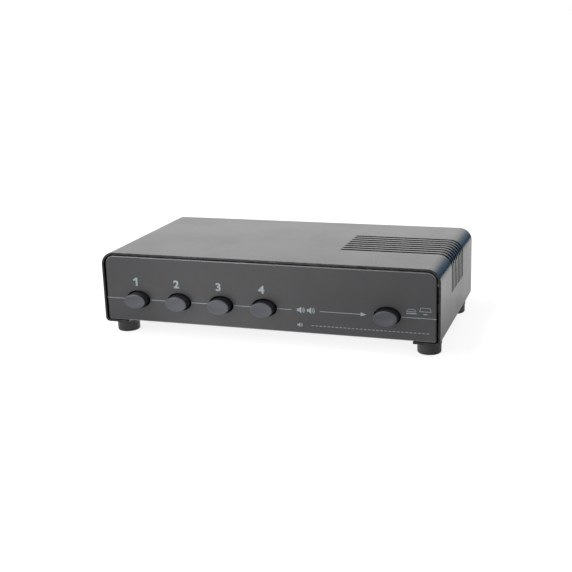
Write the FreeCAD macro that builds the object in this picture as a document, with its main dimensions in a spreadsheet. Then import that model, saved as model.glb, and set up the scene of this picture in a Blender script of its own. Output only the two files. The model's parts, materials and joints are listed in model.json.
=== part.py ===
import FreeCAD, Part
import math
import os
import re
import Sketcher

# Loudspeaker selector switch: a folded cover over a pan, five push buttons in front, twenty spring
# terminals behind. Millimetres, +Z up, +X to the right, the buttons face -Y. The origin is on the
# surface that the feet stand on, under the middle of the whole object.

Vector = FreeCAD.Vector

# ---- driving dimensions ----------------------------------------------------------------------

SIZES = {
    # cover and vents
    "case_width": 200,
    "case_depth": 103,
    "cover_height": 42,
    "cover_sheet": 1.2,
    "top_radius": 7.5,
    "bottom_radius": 2.5,
    "flange_width": 15,
    "vent_reach": 64.2,
    "vent_low": 20.2,
    "vent_width": 2.4,
    "vent_pitch": 4.94,
    "vent_middle": 0.4,
    # feet and their screws
    "foot_height": 8,
    "foot_radius": 6.95,
    "foot_rim": 2.6,
    "foot_waist": 0.3,
    "foot_bevel": 0.6,
    "foot_side": 8.4,
    "foot_end": 12.5,
    "foot_recess": 3.5,
    "foot_recess_gap": 0.7,
    "screw_radius": 1.5,
    "screw_gap": 0.05,
    "screw_head": 2.9,
    "screw_head_tall": 2.1,
    "screw_past": 3,
    # base pan
    "pan_sheet": 1,
    "pan_gap": 0.1,
    "pan_head_gap": 0.5,
    "pan_corner": 6,
    "pan_bend": 1.2,
    "rear_inset": 1,
    # fascia
    "fascia_thick": 3,
    "fascia_gap_side": 1.1,
    "fascia_gap_top": 0.7,
    "fascia_gap_low": 0.4,
    "fascia_bevel": 0.45,
    "fascia_low_corner": 1.2,
    "stake_inset": 9,
    "stake_low": 6,
    "stake_high": 34,
    "stake_radius": 1.3,
    "stake_gap": 0.2,
    "stake_head": 2.3,
    "stake_head_tall": 0.9,
    # push buttons
    "button_inset": 22.4,
    "button_pitch": 26,
    "direct_inset": 29,
    "button_height": 14.8,
    "button_travel": 4,
    "cap_half_wide": 6.75,
    "cap_half_tall": 4.4,
    "cap_reach": 5.7,
    "cap_long": 12.2,
    "cap_bevel": 0.7,
    "cap_rim": 1,
    "cap_dish": 0.4,
    "cap_gap": 0.85,
    "wall_gap": 0.2,
    # switches behind the buttons
    "stem_wide": 3.3,
    "socket_deep": 7,
    "socket_gap": 0.1,
    "collar_wide": 6.4,
    "collar_thick": 1.2,
    "slide_gap": 0.3,
    "slider_long": 10,
    "housing_wide": 12,
    "housing_tall": 10,
    "housing_wall": 1,
    "housing_spare": 5.7,
    "spring_room": 9.8,
    "spring_wire": 0.25,
    "spring_radius": 2.95,
    "spring_gap": 0.1,
    "pin_radius": 0.45,
    "pin_gap": 0.1,
    "pin_first": 6,
    "pin_pitch": 5,
    "pin_row": 5,
    "pin_below": 1.8,
    "pin_inside": 0.8,
    "latch_radius": 0.35,
    "latch_gap": 0.1,
    "latch_front": 11,
    "latch_back": 20,
    # circuit board, its standoffs and screws
    "board_side_gap": 4.4,
    "board_thick": 1.6,
    "board_front_gap": 2,
    "board_rear_gap": 1.5,
    "standoff_radius": 3,
    "standoff_inset": 4,
    "standoff_apart": 18.6,
    "standoff_front": 18,
    "standoff_rear": 18,
    "board_screw_long": 6,
    "board_head": 2.75,
    "board_head_tall": 1.8,
    # protection resistors
    "resistor_inset": 36,
    "resistor_gap": 2.75,
    "resistor_pitch": 16,
    "resistor_long": 46,
    "resistor_wide": 12.5,
    "resistor_tall": 12.5,
    "resistor_lift": 4,
    "resistor_bevel": 0.6,
    "lead_radius": 0.5,
    "lead_out": 2.5,
    "lead_bend": 1.2,
    "lead_below": 1.5,
    # terminal blocks
    "block_edge": 2.4,
    "block_apart": 1,
    "block_height": 21,
    "block_tall": 20,
    "block_flange": 2,
    "block_corner": 1.5,
    "block_gap": 0.3,
    "hood_inset": 4.5,
    "hood_edge": 0.8,
    "hood_tall": 18,
    "hood_deep": 6,
    "hood_corner": 1,
    "body_tall": 16,
    "body_deep": 10,
    "window_web": 1,
    "window_low": 0.5,
    "window_high": 7.3,
    "cavity_front": 1,
    "wire_radius": 1.6,
    "wire_drop": 4.6,
    "wire_funnel": 0.7,
    "ear_inset": 2.25,
    "ear_screw": 1.15,
    "ear_gap": 0.1,
    "ear_head": 2,
    "ear_head_tall": 1.4,
    "ear_screw_long": 7,
    # terminal levers and contact strips
    "lever_gap": 0.2,
    "lever_reach": 11.2,
    "pivot_height": 4,
    "pivot_radius": 0.8,
    "pivot_gap": 0.05,
    "pivot_long": 0.6,
    "hub_half": 1.5,
    "tab_high": 2.9,
    "tab_thick": 2.2,
    "tab_nose": 0.8,
    "arm_back": 2.9,
    "arm_drop": 5.8,
    "arm_thick": 1.4,
    "grip_pitch": 0.9,
    "grip_wide": 0.4,
    "grip_deep": 0.3,
    "strip_thick": 0.5,
    "strip_wide": 3.6,
    "blade_place": 5.2,
    "blade_high": 1.5,
    "blade_hole": 1.9,
    "tag_gap": 0.5,
    "tag_below": 1.5,
    "slot_gap": 0.2,
    # driver recesses
    "recess_slot": 0.35,
    "recess_deep": 0.9,
}

VENTS = 8
NUMBERED_BUTTONS = 4
SPRING_TURNS = 6
PIN_COLUMNS = 3
BLOCKS = ("input", "pair1", "pair2", "pair3", "pair4")
POLES = ("left_plus", "left_minus", "right_plus", "right_minus")
GRIP_GROOVES = 3
TOUCH = 0.001

# ---- shared places, as formulas of the sizes -------------------------------------------------

SIDE = "(case_width / 2)"
TOP = "(foot_height + cover_height)"
MIDDLE = "((cap_reach - lever_reach + rear_inset) / 2)"
FRONT = f"({MIDDLE} - case_depth / 2)"
BACK = f"({MIDDLE} + case_depth / 2)"
PAN_SIDE = f"({SIDE} - bottom_radius - pan_gap)"
PAN_LOW = "(foot_height + cover_sheet)"
PAN_FLOOR = "(foot_height + cover_sheet + pan_sheet)"
PAN_HEAD = f"({TOP} - cover_sheet - pan_head_gap)"
WALL_FRONT = f"({FRONT} + fascia_thick)"
WALL_INSIDE = f"({FRONT} + fascia_thick + pan_sheet)"
REAR = f"({BACK} - rear_inset)"
REAR_INSIDE = f"({REAR} - pan_sheet)"
BUTTON_Z = "(foot_height + button_height)"
BOARD_TOP = f"({BUTTON_Z} - housing_tall / 2)"
BOARD_LOW = f"({BOARD_TOP} - board_thick)"
CAP_FACE = f"({FRONT} - cap_reach)"
CAP_BACK = f"({CAP_FACE} + cap_long)"
COLLAR_BACK = f"({CAP_BACK} + collar_thick)"
HOUSING_FRONT = f"({COLLAR_BACK} + spring_room)"
CAVITY_FRONT = f"({HOUSING_FRONT} + housing_wall)"
CAVITY_BACK = f"({CAVITY_FRONT} + slide_gap + slider_long + button_travel + housing_spare)"
HOUSING_BACK = f"({CAVITY_BACK} + housing_wall)"
BLOCK_Z = "(foot_height + block_height)"
STRIP_LOW = f"({BLOCK_Z} - window_high)"
TAG_FRONT = f"({REAR} - body_deep - tag_gap)"
RESISTOR_LOW = f"({BOARD_TOP} + resistor_lift)"
LEAD_Z = f"({RESISTOR_LOW} + resistor_tall / 2)"
BUTTON_FIRST = f"(button_inset - {SIDE})"
BUTTON_LAST = f"({BUTTON_FIRST} + {NUMBERED_BUTTONS - 1} * button_pitch)"
BUTTON_DIRECT = f"({SIDE} - direct_inset)"
BOARD_SIDE = f"({PAN_SIDE} - board_side_gap)"
RESISTOR_X = f"({SIDE} - resistor_inset)"
BLOCK_PITCH = f"(2 * ({PAN_SIDE} - block_edge) / {len(BLOCKS)})"
BLOCK_WIDE = f"({BLOCK_PITCH} - block_apart)"
HOOD_WIDE = f"({BLOCK_WIDE} - 2 * hood_inset)"
EAR_PLACE = f"({BLOCK_WIDE} / 2 - ear_inset)"
LEVER_PITCH = f"(({HOOD_WIDE} - 2 * hood_edge) / {len(POLES)})"
WINDOW_WIDE = f"({LEVER_PITCH} - window_web)"
LEVER_WIDE = f"({WINDOW_WIDE} - 2 * lever_gap)"

BUTTONS = [(f"{n + 1}", f"({BUTTON_FIRST} + {n} * button_pitch)") for n in range(NUMBERED_BUTTONS)]
BUTTONS.append(("direct", BUTTON_DIRECT))
FEET = [
    (f"({side} * ({SIDE} - foot_side))", f"({MIDDLE} + {end} * (case_depth / 2 - foot_end))")
    for side in (-1, 1)
    for end in (-1, 1)
]
STANDOFFS = [
    (across, along)
    for across in (
        f"(standoff_inset - {BOARD_SIDE})",
        f"({BUTTON_LAST} + standoff_apart)",
        f"({BOARD_SIDE} - standoff_inset)",
    )
    for along in (f"({FRONT} + standoff_front)", f"({REAR} - standoff_rear)")
]
STAKES = [
    (across, f"(foot_height + {up})")
    for across in (
        f"(stake_inset - {SIDE})",
        f"(({BUTTON_LAST} + {BUTTON_DIRECT}) / 2)",
        f"({SIDE} - stake_inset)",
    )
    for up in ("stake_low", "stake_high")
]
PINS = [
    (f"({place} + {row} * pin_row / 2)", f"({HOUSING_FRONT} + pin_first + {column} * pin_pitch)")
    for _, place in BUTTONS
    for row in (-1, 1)
    for column in range(PIN_COLUMNS)
]
RESISTORS = [
    ("left", f"({HOUSING_BACK} + resistor_gap + resistor_wide / 2)"),
    ("right", f"({HOUSING_BACK} + resistor_gap + resistor_wide / 2 + resistor_pitch)"),
]
LEADS = [
    (f"({RESISTOR_X} + {side} * (resistor_long / 2 + lead_out))", along)
    for _, along in RESISTORS
    for side in (-1, 1)
]


def block_place(number):
    """The X of a terminal block's middle."""
    return f"({number - (len(BLOCKS) - 1) / 2} * {BLOCK_PITCH})"


def pole_place(number):
    """The X of a pole's lever, from its block's middle."""
    return f"({number - (len(POLES) - 1) / 2} * {LEVER_PITCH})"


EARS = [
    f"({block_place(number)} + {side} * {EAR_PLACE})" for number in range(len(BLOCKS)) for side in (-1, 1)
]
CONTACTS = [
    f"({block_place(number)} + {pole_place(pole)})"
    for number in range(len(BLOCKS))
    for pole in range(len(POLES))
]

# ---- document and sheet ----------------------------------------------------------------------

doc = FreeCAD.newDocument("speaker_selector")
sheet = doc.addObject("Spreadsheet::Sheet", "sizes")
for row, (alias, number) in enumerate(SIZES.items(), 1):
    sheet.set(f"A{row}", alias)
    sheet.set(f"B{row}", str(number))
    sheet.setAlias(f"B{row}", alias)
doc.recompute()

nodes = []


def formula(text):
    """The text with each size's name written as its cell of the sheet."""
    return re.sub(r"[a-z_]+", lambda word: f"sizes.{word[0]}" if word[0] in SIZES else word[0], text)


def value(text):
    """The number that a formula gives now."""
    return float(sheet.evalExpression(formula(text)))


def bind(thing, name, text):
    """Tie a property of an object to a formula."""
    thing.setExpression(name, formula(text))


# ---- sketches --------------------------------------------------------------------------------

# Each origin plane with the way its normal points along the third axis.
PLANES = {"XY": ("XY_Plane", 1), "XZ": ("XZ_Plane", -1), "YZ": ("YZ_Plane", 1)}


class Outline:
    """A sketch on an origin plane of a body, dimensioned from the origin by formulas."""

    def __init__(self, body, name, plane, place):
        role, way = PLANES[plane]
        self.sketch = body.newObject("Sketcher::SketchObject", name)
        origin_plane = next(o for o in body.Origin.OriginFeatures if o.Role == role)
        self.sketch.AttachmentSupport = (origin_plane, [""])
        self.sketch.MapMode = "FlatFace"
        bind(self.sketch, "AttachmentOffset.Base.z", f"{way} * ({place})")

    def size(self, kind, text, *where):
        """Add a dimension and tie it to a formula."""
        number = self.sketch.addConstraint(Sketcher.Constraint(kind, *where, value(text)))
        bind(self.sketch, f"Constraints[{number}]", text)

    def place(self, geometry, position, across, up):
        """Dimension a point of the sketch from its origin."""
        self.size("DistanceX", across, -1, 1, geometry, position)
        self.size("DistanceY", up, -1, 1, geometry, position)

    def circle(self, across, up, radius):
        """Draw a circle."""
        centre = Vector(value(across), value(up), 0)
        number = self.sketch.addGeometry(Part.Circle(centre, Vector(0, 0, 1), value(radius)))
        self.place(number, 3, across, up)
        self.size("Radius", radius, number)

    def ellipse(self, across, up, half_wide, half_tall):
        """Draw an ellipse, wider than it is tall."""
        centre = Vector(value(across), value(up), 0)
        number = self.sketch.addGeometry(Part.Ellipse(centre, value(half_wide), value(half_tall)))
        self.sketch.exposeInternalGeometry(number)
        long_axis = number + 1
        short_axis = number + 2
        self.place(number, 3, across, up)
        self.sketch.addConstraint(Sketcher.Constraint("Horizontal", long_axis))
        self.size("Distance", f"2 * ({half_wide})", long_axis)
        self.size("Distance", f"2 * ({half_tall})", short_axis)

    def polygon(self, corners):
        """Draw a closed outline of straight lines through the corners."""
        points = [Vector(value(across), value(up), 0) for across, up in corners]
        lines = [
            self.sketch.addGeometry(Part.LineSegment(point, points[(n + 1) % len(points)]))
            for n, point in enumerate(points)
        ]
        for n, line in enumerate(lines):
            self.sketch.addConstraint(Sketcher.Constraint("Coincident", line, 1, lines[n - 1], 2))
            self.place(line, 1, *corners[n])

    def rectangle(self, left, right, low, high):
        """Draw a rectangle between two places across and two up."""
        self.polygon([(left, low), (right, low), (right, high), (left, high)])

    def rounded_rectangle(self, left, right, low, high, low_radius, high_radius):
        """Draw a rectangle with one radius for its low corners and one for its high corners."""
        sides = [
            ((f"{left} + {low_radius}", low), (f"{right} - {low_radius}", low)),
            ((right, f"{low} + {low_radius}"), (right, f"{high} - {high_radius}")),
            ((f"{right} - {high_radius}", high), (f"{left} + {high_radius}", high)),
            ((left, f"{high} - {high_radius}"), (left, f"{low} + {low_radius}")),
        ]
        ends = [[Vector(value(across), value(up), 0) for across, up in side] for side in sides]
        lines = [self.sketch.addGeometry(Part.LineSegment(*end)) for end in ends]
        radii = (low_radius, high_radius, high_radius, low_radius)
        for n, radius in enumerate(radii):
            across_side, upright_side = (n, n + 1) if n % 2 == 0 else (n + 1, n)
            centre = Vector(
                ends[across_side % 4][(n + across_side + 1) % 2].x,
                ends[upright_side % 4][(n + upright_side + 1) % 2].y,
                0,
            )
            circle = Part.Circle(centre, Vector(0, 0, 1), value(radius))
            turn = (n - 1) * math.pi / 2
            arc = self.sketch.addGeometry(Part.ArcOfCircle(circle, turn, turn + math.pi / 2))
            self.place(lines[n], 1, *sides[n][0])
            self.place(lines[n], 2, *sides[n][1])
            self.sketch.addConstraint(Sketcher.Constraint("Coincident", arc, 1, lines[n], 2))
            self.sketch.addConstraint(Sketcher.Constraint("Coincident", arc, 2, lines[(n + 1) % 4], 1))
            self.size("Radius", radius, arc)

    def axis(self, across, way):
        """Draw a construction line along Y from the X axis, up it or down it."""
        foot = Vector(value(across), 0, 0)
        number = self.sketch.addGeometry(Part.LineSegment(foot, foot + Vector(0, way, 0)), True)
        self.place(number, 1, across, "0")
        self.place(number, 2, across, str(way))

    def middle_rectangle(self, across, up, wide, tall):
        """Draw a rectangle about its middle."""
        self.rectangle(
            f"{across} - ({wide}) / 2",
            f"{across} + ({wide}) / 2",
            f"{up} - ({tall}) / 2",
            f"{up} + ({tall}) / 2",
        )


# ---- features --------------------------------------------------------------------------------


def new_body(label):
    """A body for one sub-part, which may hold several separate solids."""
    body = doc.addObject("PartDesign::Body", label)
    body.Label = label
    body.AllowCompound = True
    nodes.append(body)
    return body


def pad(body, name, plane, low, high, draw):
    """Add what draw() outlines on a plane, between two places along the plane's axis."""
    start = low if PLANES[plane][1] > 0 else high
    outline = Outline(body, f"{name}_outline", plane, start)
    draw(outline)
    feature = body.newObject("PartDesign::Pad", name)
    feature.Profile = outline.sketch
    bind(feature, "Length", f"({high}) - ({low})")
    return feature


def cut(body, name, plane, low, high, draw):
    """Remove what draw() outlines on a plane, between two places along the plane's axis."""
    start = high if PLANES[plane][1] > 0 else low
    outline = Outline(body, f"{name}_outline", plane, start)
    draw(outline)
    feature = body.newObject("PartDesign::Pocket", name)
    feature.Profile = outline.sketch
    bind(feature, "Length", f"({high}) - ({low})")
    return feature


def turn(body, name, up, draw, across, way, angle):
    """Turn what draw() outlines at a height about an axis there that runs along Y, way +1 or -1."""
    outline = Outline(body, f"{name}_outline", "XY", up)
    draw(outline)
    outline.axis(across, way)
    feature = body.newObject("PartDesign::Revolution", name)
    feature.Profile = outline.sketch
    feature.ReferenceAxis = (outline.sketch, ["Axis0"])
    feature.Angle = angle
    return feature


def dress(body, kind, name, size_name, text, chosen):
    """Round or bevel the edges of the body's last feature that chosen() accepts."""
    doc.recompute()
    base = body.Tip
    edges = [f"Edge{n}" for n, edge in enumerate(base.Shape.Edges, 1) if chosen(edge)]
    feature = body.newObject(f"PartDesign::{kind}", name)
    feature.Base = (base, edges)
    bind(feature, size_name, text)
    body.Tip = feature
    return feature


def fillet(body, name, text, chosen):
    """Round the chosen edges."""
    return dress(body, "Fillet", name, "Radius", text, chosen)


def bevel(body, name, text, chosen):
    """Bevel the chosen edges."""
    return dress(body, "Chamfer", name, "Size", text, chosen)


def runs_along(edge, axis):
    """Whether an edge is straight and runs along "X", "Y" or "Z"."""
    if not isinstance(edge.Curve, Part.Line):
        return False
    first, last = (vertex.Point for vertex in edge.Vertexes)
    return abs(getattr((last - first).normalize(), axis.lower())) > 1 - TOUCH


def lies_at(edge, axis, text):
    """Whether an edge lies in the plane where the axis has the formula's value."""
    low = getattr(edge.BoundBox, f"{axis}Min")
    high = getattr(edge.BoundBox, f"{axis}Max")
    wanted = value(text)
    return abs(low - wanted) < TOUCH and abs(high - wanted) < TOUCH


def cross_recess(body, plane, low, high, places, arm):
    """Cut a driver's cross into every screw head."""
    arms = (("across", arm, "recess_slot * 2"), ("upright", "recess_slot * 2", arm))
    for name, wide, tall in arms:

        def draw(outline):
            for across, up in places:
                outline.middle_rectangle(across, up, wide, tall)

        cut(body, f"recess_{name}", plane, low, high, draw)


# ---- case ------------------------------------------------------------------------------------


def make_top_cover():
    """One folded sheet: top, sides and two flanges that return under the pan."""
    body = new_body("top_cover")
    inner_side = f"({SIDE} - cover_sheet)"
    inner_top = f"({TOP} - cover_sheet)"

    def sheet_section(outline):
        outline.rounded_rectangle(f"-{SIDE}", SIDE, "foot_height", TOP, "bottom_radius", "top_radius")
        outline.rounded_rectangle(
            f"-{inner_side}",
            inner_side,
            PAN_LOW,
            inner_top,
            "(bottom_radius - cover_sheet)",
            "(top_radius - cover_sheet)",
        )

    pad(body, "sheet", "XZ", FRONT, BACK, sheet_section)
    lip = f"({SIDE} - flange_width)"
    cut(body, "opening", "XY", "foot_height", PAN_LOW, lambda o: o.rectangle(f"-{lip}", lip, FRONT, BACK))

    def vents(outline):
        for number in range(VENTS):
            place = f"({MIDDLE} + vent_middle + {number - (VENTS - 1) / 2} * vent_pitch)"
            outline.rectangle(
                f"{SIDE} - vent_reach",
                f"{SIDE} + cover_sheet",
                f"{place} - vent_width / 2",
                f"{place} + vent_width / 2",
            )

    cut(body, "vents", "XY", "foot_height + vent_low", f"{TOP} + cover_sheet", vents)

    def screw_holes(outline):
        for across, along in FEET:
            outline.circle(across, along, "screw_radius + screw_gap")

    cut(body, "screw_holes", "XY", "foot_height", PAN_LOW, screw_holes)


def make_base_pan():
    """One folded sheet: floor, front wall and rear wall, with every hole that the parts need."""
    body = new_body("base_pan")

    def channel(outline):
        outline.polygon(
            [
                (WALL_FRONT, PAN_LOW),
                (REAR, PAN_LOW),
                (REAR, PAN_HEAD),
                (REAR_INSIDE, PAN_HEAD),
                (REAR_INSIDE, PAN_FLOOR),
                (WALL_INSIDE, PAN_FLOOR),
                (WALL_INSIDE, PAN_HEAD),
                (WALL_FRONT, PAN_HEAD),
            ]
        )

    pad(body, "channel", "YZ", f"-{PAN_SIDE}", PAN_SIDE, channel)
    fillet(body, "wall_corners", "pan_corner", lambda e: runs_along(e, "Y") and lies_at(e, "Z", PAN_HEAD))
    outer = lambda e: lies_at(e, "Y", WALL_FRONT) or lies_at(e, "Y", REAR)
    fillet(
        body, "bends", "pan_bend", lambda e: runs_along(e, "X") and outer(e) and lies_at(e, "Z", PAN_LOW)
    )
    inner = lambda e: lies_at(e, "Y", WALL_INSIDE) or lies_at(e, "Y", REAR_INSIDE)
    fillet(
        body,
        "bends_inside",
        "pan_bend - pan_sheet",
        lambda e: runs_along(e, "X") and inner(e) and lies_at(e, "Z", PAN_FLOOR),
    )

    def front_holes(outline):
        for _, place in BUTTONS:
            half_wide = "cap_half_wide + cap_gap + wall_gap"
            half_tall = "cap_half_tall + cap_gap + wall_gap"
            outline.ellipse(place, BUTTON_Z, half_wide, half_tall)
        for across, up in STAKES:
            outline.circle(across, up, "stake_radius + stake_gap")

    cut(body, "front_holes", "XZ", WALL_FRONT, WALL_INSIDE, front_holes)

    def rear_holes(outline):
        for number in range(len(BLOCKS)):
            outline.middle_rectangle(
                block_place(number), BLOCK_Z, f"{HOOD_WIDE} + 2 * block_gap", "body_tall + 2 * block_gap"
            )
        for place in EARS:
            outline.circle(place, BLOCK_Z, "ear_screw + ear_gap / 2")

    cut(body, "rear_holes", "XZ", REAR_INSIDE, REAR, rear_holes)

    def floor_holes(outline):
        for across, along in FEET:
            outline.circle(across, along, "screw_radius + screw_gap")

    cut(body, "floor_holes", "XY", PAN_LOW, PAN_FLOOR, floor_holes)


def make_front_fascia():
    """A bevelled plate flush with the cover's front edge, staked through the pan's front wall."""
    body = new_body("front_fascia")
    side = f"({SIDE} - cover_sheet - fascia_gap_side)"
    low = f"({PAN_LOW} + fascia_gap_low)"
    high = f"({TOP} - cover_sheet - fascia_gap_top)"
    pad(body, "plate", "XZ", FRONT, WALL_FRONT, lambda o: o.rectangle(f"-{side}", side, low, high))
    fillet(
        body,
        "high_corners",
        "top_radius - cover_sheet - fascia_gap_side",
        lambda e: runs_along(e, "Y") and lies_at(e, "Z", high),
    )
    fillet(
        body, "low_corners", "fascia_low_corner", lambda e: runs_along(e, "Y") and lies_at(e, "Z", low)
    )
    bevel(body, "front_bevel", "fascia_bevel", lambda e: lies_at(e, "Y", FRONT))

    def holes(outline):
        for _, place in BUTTONS:
            outline.ellipse(place, BUTTON_Z, "cap_half_wide + cap_gap", "cap_half_tall + cap_gap")

    cut(body, "holes", "XZ", FRONT, WALL_FRONT, holes)

    def stakes(outline):
        for across, up in STAKES:
            outline.circle(across, up, "stake_radius")

    pad(body, "stakes", "XZ", WALL_FRONT, WALL_INSIDE, stakes)

    def heads(outline):
        for across, up in STAKES:
            outline.circle(across, up, "stake_head")

    pad(body, "stake_heads", "XZ", WALL_INSIDE, f"{WALL_INSIDE} + stake_head_tall", heads)


def make_rubber_feet():
    """Four round feet: a rim against the cover, a narrower foot, and a recess for the screw."""
    body = new_body("rubber_feet")

    def ring(radius):
        def draw(outline):
            for across, along in FEET:
                outline.circle(across, along, radius)

        return draw

    pad(body, "rims", "XY", "foot_height - foot_rim", "foot_height", ring("foot_radius"))
    pad(body, "waists", "XY", "0", "foot_height - foot_rim", ring("foot_radius - foot_waist"))
    bevel(body, "low_bevel", "foot_bevel", lambda e: lies_at(e, "Z", "0"))
    cut(body, "recesses", "XY", "0", "foot_recess", ring("screw_head + foot_recess_gap"))
    cut(body, "holes", "XY", "foot_recess", "foot_height", ring("screw_radius + screw_gap"))


def make_foot_screws():
    """Four screws up through the feet and the flanges into the pan."""
    body = new_body("foot_screws")
    head_low = "(foot_recess - screw_head_tall)"

    def heads(outline):
        for across, along in FEET:
            outline.circle(across, along, "screw_head")

    def shanks(outline):
        for across, along in FEET:
            outline.circle(across, along, "screw_radius")

    pad(body, "heads", "XY", head_low, "foot_recess", heads)
    fillet(body, "domes", "screw_head_tall / 2", lambda e: lies_at(e, "Z", head_low))
    pad(body, "shanks", "XY", "foot_recess", f"{PAN_FLOOR} + screw_past", shanks)
    cross_recess(body, "XY", head_low, f"{head_low} + recess_deep", FEET, "screw_head")


# ---- buttons and switches --------------------------------------------------------------------


def make_button(label, place):
    """An oval cap with a dished face and a square socket behind."""
    body = new_body(f"button_cap_{label}")
    socket = "stem_wide + 2 * socket_gap"
    rim = "(cap_bevel + cap_rim)"
    pad(
        body,
        "cap",
        "XZ",
        CAP_FACE,
        CAP_BACK,
        lambda o: o.ellipse(place, BUTTON_Z, "cap_half_wide", "cap_half_tall"),
    )
    bevel(body, "face_bevel", "cap_bevel", lambda e: lies_at(e, "Y", CAP_FACE))
    cut(
        body,
        "dish",
        "XZ",
        CAP_FACE,
        f"{CAP_FACE} + cap_dish",
        lambda o: o.ellipse(place, BUTTON_Z, f"cap_half_wide - {rim}", f"cap_half_tall - {rim}"),
    )
    cut(
        body,
        "socket",
        "XZ",
        f"{CAP_BACK} - socket_deep",
        CAP_BACK,
        lambda o: o.middle_rectangle(place, BUTTON_Z, socket, socket),
    )


def make_plunger(label, place):
    """A square stem with a spring collar behind the cap and a slider block in the housing."""
    body = new_body(f"plunger_{label}")
    slider_front = f"({CAVITY_FRONT} + slide_gap)"
    slider_wide = "housing_wide - 2 * housing_wall - 2 * slide_gap"
    slider_tall = "housing_tall - 2 * housing_wall - 2 * slide_gap"
    square = lambda wide, tall: lambda o: o.middle_rectangle(place, BUTTON_Z, wide, tall)
    stem_front = f"{CAP_BACK} - socket_deep + socket_gap"
    pad(body, "stem", "XZ", stem_front, slider_front, square("stem_wide", "stem_wide"))
    pad(body, "collar", "XZ", CAP_BACK, COLLAR_BACK, square("collar_wide", "collar_wide"))
    pad(body, "slider", "XZ", slider_front, f"{slider_front} + slider_long", square(slider_wide, slider_tall))


def make_return_spring(label, place):
    """A coil between the collar and the housing, of half turns that tilt by turns.

    Each half turn is a round disc revolved about the middle of its two ends.
    """
    radius = value("spring_radius")
    wire = value("spring_wire")
    low = value(f"{COLLAR_BACK} + spring_gap + spring_wire")
    high = value(f"{HOUSING_FRONT} - spring_gap - spring_wire")
    half_turns = 2 * SPRING_TURNS
    step = (high - low) / half_turns
    pieces = []
    for number in range(half_turns):
        way = -1 if number % 2 else 1
        start = Vector(way * radius, number * step, 0)
        end = Vector(-way * radius, (number + 1) * step, 0)
        centre = (start + end) / 2
        along = Vector(0, 0, way)
        disc = Part.Face(Part.Wire(Part.makeCircle(wire, start, along)))
        pieces.append(disc.revolve(centre, (start - centre).cross(along), 180))
    spring = doc.addObject("Part::Feature", f"return_spring_{label}")
    spring.Label = f"return_spring_{label}"
    spring.Shape = pieces[0].multiFuse(pieces[1:])
    bind(spring, "Placement.Base.x", place)
    bind(spring, "Placement.Base.y", f"{COLLAR_BACK} + spring_gap + spring_wire")
    bind(spring, "Placement.Base.z", BUTTON_Z)
    nodes.append(spring)


def switch_pins_of(place):
    """The places of one switch's pins."""
    return [(across, along) for across, along in PINS if place in across]


def make_switch_housing(label, place):
    """A box on the board, open where the stem, the pins and the latch wire pass."""
    body = new_body(f"switch_housing_{label}")
    inner_wide = "housing_wide - 2 * housing_wall"
    inner_tall = "housing_tall - 2 * housing_wall"
    hole = "stem_wide + 2 * slide_gap"
    box = lambda wide, tall: lambda o: o.middle_rectangle(place, BUTTON_Z, wide, tall)
    pad(body, "box", "XZ", HOUSING_FRONT, HOUSING_BACK, box("housing_wide", "housing_tall"))
    cut(body, "cavity", "XZ", CAVITY_FRONT, CAVITY_BACK, box(inner_wide, inner_tall))
    cut(body, "stem_hole", "XZ", HOUSING_FRONT, CAVITY_FRONT, box(hole, hole))

    def pin_holes(outline):
        for across, along in switch_pins_of(place):
            outline.circle(across, along, "pin_radius + pin_gap")

    cut(body, "pin_holes", "XY", BOARD_TOP, f"{BOARD_TOP} + housing_wall", pin_holes)
    top = f"({BOARD_TOP} + housing_tall)"

    def latch_holes(outline):
        for along in ("latch_front", "latch_back"):
            outline.circle(place, f"{HOUSING_FRONT} + {along}", "latch_radius + latch_gap")

    cut(body, "latch_holes", "XY", f"{top} - housing_wall", top, latch_holes)


def make_switch_pins():
    """Six pins a switch, from the housing's floor through the board."""
    body = new_body("switch_pins")

    def draw(outline):
        for across, along in PINS:
            outline.circle(across, along, "pin_radius")

    pad(body, "pins", "XY", f"{BOARD_LOW} - pin_below", f"{BOARD_TOP} + pin_inside", draw)


def make_latch_wires():
    """A bent wire on each switch: a bar along the housing with both ends turned down into it."""
    body = new_body("latch_wires")
    top = f"({BOARD_TOP} + housing_tall)"
    ends = [f"({HOUSING_FRONT} + {along})" for along in ("latch_front", "latch_back")]

    def bars(outline):
        for _, place in BUTTONS:
            outline.circle(place, f"{top} + latch_radius", "latch_radius")

    def legs(outline):
        for _, place in BUTTONS:
            for along in ends:
                outline.circle(place, along, "latch_radius")

    pad(body, "bars", "XZ", f"{ends[0]} - latch_radius", f"{ends[1]} + latch_radius", bars)
    pad(body, "legs", "XY", f"{top} - housing_wall", f"{top} + latch_radius", legs)


# ---- board and resistors ---------------------------------------------------------------------


def make_circuit_board():
    """The board with a hole for every pin, tag, lead and screw."""
    body = new_body("circuit_board")
    front = f"({WALL_INSIDE} + board_front_gap)"
    rear = f"({REAR_INSIDE} - board_rear_gap)"
    plate = lambda o: o.rectangle(f"-{BOARD_SIDE}", BOARD_SIDE, front, rear)
    pad(body, "plate", "XY", BOARD_LOW, BOARD_TOP, plate)

    def round_holes(outline):
        for across, along in PINS:
            outline.circle(across, along, "pin_radius + pin_gap")
        for across, along in STANDOFFS:
            outline.circle(across, along, "screw_radius + screw_gap")
        for across, along in LEADS:
            outline.circle(across, along, "lead_radius + pin_gap")

    cut(body, "round_holes", "XY", BOARD_LOW, BOARD_TOP, round_holes)

    def slots(outline):
        for place in CONTACTS:
            along = f"({TAG_FRONT} - strip_thick / 2)"
            outline.middle_rectangle(place, along, "strip_wide + 2 * slot_gap", "strip_thick + 2 * slot_gap")

    cut(body, "slots", "XY", BOARD_LOW, BOARD_TOP, slots)


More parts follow.
